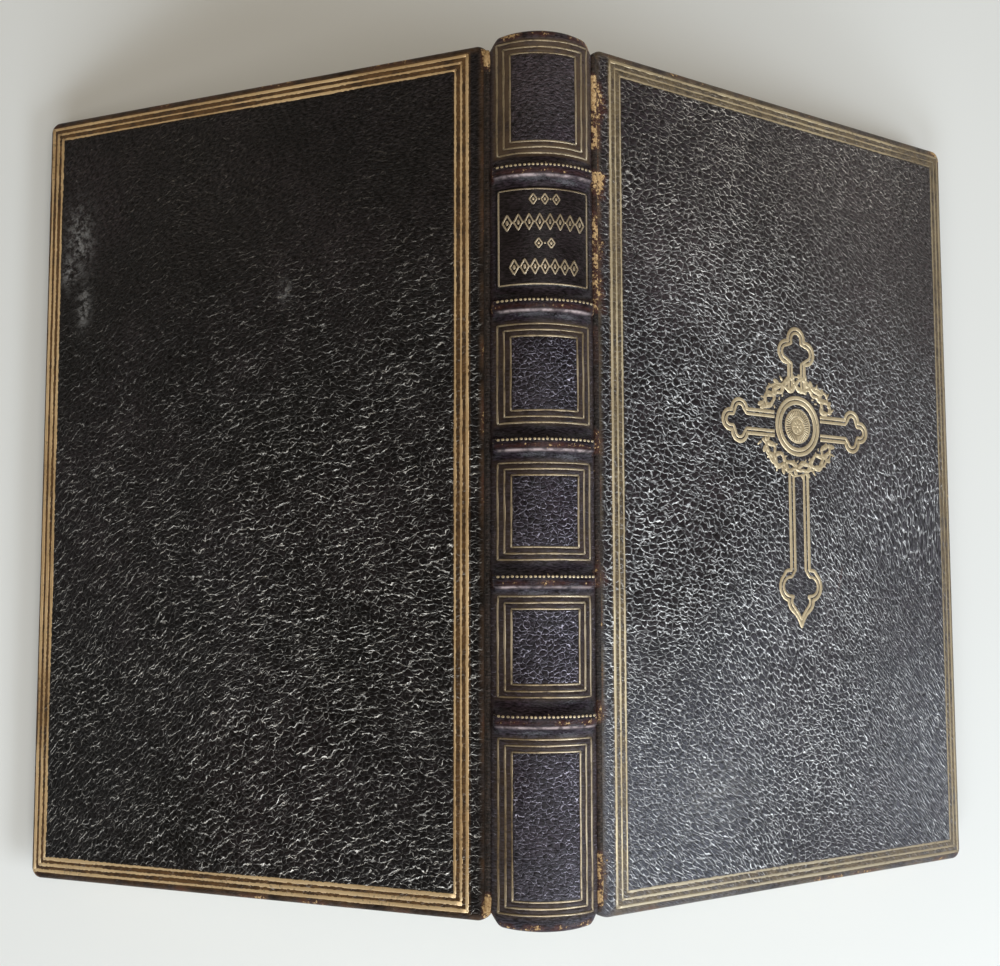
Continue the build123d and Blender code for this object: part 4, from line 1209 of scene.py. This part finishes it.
# ---------------------------------------------------------------- text block
def bend_span(dc):
    """Start and end of the bend of a section at depth dc, relative to the joint line, front side (x, z)."""
    dirn = np.array([math.sin(PHI / 2), -math.cos(PHI / 2)])
    half = 2.2 * dc / 2
    return -dirn * half, dirn * half


def rest_leaf(t, d, dc):
    """Closed-book leaf points (depth d, length t from the joint line) carried to the open rest pose."""
    s, e = bend_span(dc)
    q = e - s
    ln = float(q @ q)
    px, pz = -np.asarray(d, float) * np.ones_like(t), -np.asarray(t, float)
    lo, hi = np.zeros_like(t), np.ones_like(t)
    for _ in range(48):
        w = (lo + hi) / 2
        a = PHI * w
        x, z = px * np.cos(a) - pz * np.sin(a), px * np.sin(a) + pz * np.cos(a)
        k = np.clip(((x - s[0]) * q[0] + (z - s[1]) * q[1]) / ln, 0, 1)
        g = k * k * (3 - 2 * k) - w
        lo, hi = np.where(g > 0, w, lo), np.where(g > 0, hi, w)
    a = PHI * (lo + hi) / 2
    return px * np.cos(a) - pz * np.sin(a), px * np.sin(a) + pz * np.cos(a)


def make_sections(side):
    sg = 1 if side == "front" else -1
    rs = np.random.RandomState(61 if sg > 0 else 62)
    nz = Noise2(63)
    leaves = 6
    for i in range(SECTIONS):
        d0 = FIRST_D + i * SPITCH
        dc = d0 + LEAF_T / 2
        s = Soup()
        fm = []
        for k in range(leaves):
            th = LEAF_T / leaves
            da, db = d0 + k * th + 0.006, d0 + (k + 1) * th - 0.008
            dm = (da + db) / 2
            xx = A - dm
            fold = math.sqrt(max(FOLD_R ** 2 - xx ** 2, 0.0)) - ARC_DROP
            if i == SECTIONS - 1:
                fold = min(fold, math.sqrt(max(10.02 ** 2 - dm ** 2, 0.0)))
            fold -= 0.05 + 0.04 * rs.rand()
            fore = FORE_U - FORE_HOLLOW * (1 - (xx / (A - FIRST_D)) ** 2) - 0.02 - 0.10 * rs.rand()
            yh = 79.45 - 0.12 * rs.rand()
            yt = 79.45 - 0.12 * rs.rand()
            bend = 1.1 * dc * 1.35
            t = np.unique(np.concatenate([np.linspace(-fold, bend + 2, 22), np.linspace(bend + 2, fore, 12)]))
            ys_ = np.linspace(-yt, yh, 9)
            nt_, ny = len(t), len(ys_)
            V = []
            for dd in (da, db):
                x, z = rest_leaf(t, dd, dc)
                X = np.repeat(x[:, None], ny, 1)
                Z = np.repeat(z[:, None], ny, 1)
                V.append(np.stack([sg * (A + X), np.repeat(ys_[None, :], nt_, 0), ZJ + Z], -1) * MM)
            P = np.concatenate([V[0].reshape(-1, 3), V[1].reshape(-1, 3)])
            f = grid_faces(nt_, ny) + [q[::-1] for q in grid_faces(nt_, ny, nt_ * ny)]
            nface = len(f)
            idx = np.arange(nt_ * ny).reshape(nt_, ny)
            ring = list(idx[:, 0]) + list(idx[-1, 1:]) + list(idx[-2::-1, -1]) + list(idx[0, -2:0:-1])
            for a, b in zip(ring, ring[1:] + ring[:1]):
                f.append((a, b, b + nt_ * ny, a + nt_ * ny))
            s.add(P, f)
            fm += [0] * nface + [1] * (len(f) - nface)
        ob = new_object(f"{side}_leaves_{i + 1}", np.concatenate(s.v), s.f, [M_PAGE, M_EDGE], smooth=False, face_mats=fm)
        bm = bmesh.new()
        bm.from_mesh(ob.data)
        bmesh.ops.recalc_face_normals(bm, faces=bm.faces)
        bm.to_mesh(ob.data)
        bm.free()
        a, b = bend_span(dc)
        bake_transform(ob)
        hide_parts(f"{side}_section_{i + 1}")


make_sections("front")
make_sections("back")


def make_flyleaf(side):
    sg = 1 if side == "front" else -1
    nz = Noise2(71 if sg > 0 else 72)
    u = np.linspace(1.25, FORE_U - 0.15, 70)
    v = np.linspace(-79.3, 79.3, 80)
    UU, VV = np.meshgrid(u, v, indexing="ij")
    mid = 3.25 + 0.025 * nz.fbm(UU, VV, 0.03, 3)
    P = np.concatenate([cover_point(sg, UU, VV, mid - 0.05).reshape(-1, 3), cover_point(sg, UU, VV, mid + 0.05).reshape(-1, 3)])
    n, m = UU.shape
    f = grid_faces(n, m) + [q[::-1] for q in grid_faces(n, m, n * m)]
    idx = np.arange(n * m).reshape(n, m)
    ring = list(idx[:, 0]) + list(idx[-1, 1:]) + list(idx[-2::-1, -1]) + list(idx[0, -2:0:-1])
    nf = len(f)
    for a, b in zip(ring, ring[1:] + ring[:1]):
        f.append((a, b, b + n * m, a + n * m))
    ob = new_object(side + "_free_endpaper", P, f, [M_END, M_EDGE], face_mats=[0] * nf + [1] * (len(f) - nf))
    tidy(ob)
    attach(ob, side + "_endleaf")
    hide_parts(side + "_flyleaf")


make_flyleaf("front")
make_flyleaf("back")


# ---------------------------------------------------------------- headbands
def make_headband(end, node):
    nt_, seg = 220, 14
    th = np.radians(np.linspace(-36, 36, nt_))
    a = np.arange(seg) * 2 * math.pi / seg
    T, AA = np.meshgrid(th, a, indexing="ij")
    wraps = 46
    ph = (T / math.radians(72) + 0.5) * wraps
    r = 0.62 + 0.07 * np.abs(np.sin(math.pi * ph + AA * 0.35)) ** 0.7
    r = r * sstep(0, 0.03, math.radians(36) - np.abs(T) + 0.012)
    rho = SR - 2.55 + r * np.sin(AA)
    y = end * 80.42 + r * np.cos(AA)
    P = np.stack([rho * np.sin(T), y, AXZ + rho * np.cos(T)], -1) * MM
    f = grid_faces(nt_, seg)
    fm = []
    base = len(f)
    for i in range(nt_ - 1):
        f.append((i * seg + seg - 1, (i + 1) * seg + seg - 1, (i + 1) * seg, i * seg))
    for q in f:
        i = q[0] // seg
        fm.append(int((i / nt_) * wraps) // 3 % 2)
    f.append(tuple(range(seg)))
    f.append(tuple((nt_ - 1) * seg + j for j in range(seg))[::-1])
    fm += [0, 0]
    ob = new_object(node + "_silk", P, f, [M_SILK_A, M_SILK_B], face_mats=fm)
    bm = bmesh.new()
    bm.from_mesh(ob.data)
    bmesh.ops.recalc_face_normals(bm, faces=bm.faces)
    bm.to_mesh(ob.data)
    bm.free()
    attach(ob, "spine")
    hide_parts(node)


make_headband(1, "headband_head")
make_headband(-1, "headband_tail")

# ---------------------------------------------------------------- carried-over CAD nodes
for node, mat in (("spine_paper_lining", M_LINING), ("spine_mull", M_MULL), ("sewing_cords", M_CORD),
                  ("front_board", M_BOARD), ("back_board", M_BOARD), ("front_pastedown", M_END), ("back_pastedown", M_END)):
    o = frame["nodes"][node]
    o.data.materials.clear()
    o.data.materials.append(mat)

# ---------------------------------------------------------------- floor and light
def make_floor():
    m, nt, b = mat_new("table_top")
    tc = N(nt, "ShaderNodeTexCoord").outputs["Object"]
    n1 = noise(nt, tc, 6.0, 4.0)
    L(nt, mixc(nt, n1, (0.795, 0.80, 0.805), (0.735, 0.745, 0.755)), b.inputs["Base Color"])
    b.inputs["Roughness"].default_value = 0.6
    s = 1.6
    ob = new_object("table", [(-s, -s, 0), (s, -s, 0), (s, s, 0), (-s, s, 0)], [(0, 1, 2, 3)], m, smooth=False)


make_floor()


def area(name, loc, target, size, power, color=(1, 1, 1)):
    d = bpy.data.lights.new(name, "AREA")
    d.shape = "RECTANGLE"
    d.size, d.size_y = size
    d.energy = power
    d.color = color
    o = bpy.data.objects.new(name, d)
    bpy.context.scene.collection.objects.link(o)
    o.location = loc
    o.rotation_mode = "QUATERNION"
    o.rotation_quaternion = (Vector(target) - Vector(loc)).to_track_quat("-Z", "Y")
    return o


w = bpy.data.worlds.new("studio")
bpy.context.scene.world = w
w.use_nodes = True
w.node_tree.nodes["Background"].inputs["Color"].default_value = (1.0, 0.85, 0.56, 1)
w.node_tree.nodes["Background"].inputs["Strength"].default_value = 0.205
area("window", (0.56, -0.44, 0.47), (0.0, 0, 0.03), (0.55, 0.45), 5.4, (0.85, 0.94, 1.0))
area("tail_fill", (-0.15, -0.80, 0.50), (0, 0, 0.04), (0.6, 0.4), 4.1, (0.85, 0.94, 1.0))
area("ceiling", (0.05, -0.15, 1.2), (0, 0, 0), (0.9, 0.9), 4.7, (1.0, 0.97, 0.92))

bpy.context.scene.view_settings.view_transform = "Standard"
bpy.context.scene.view_settings.look = "None"
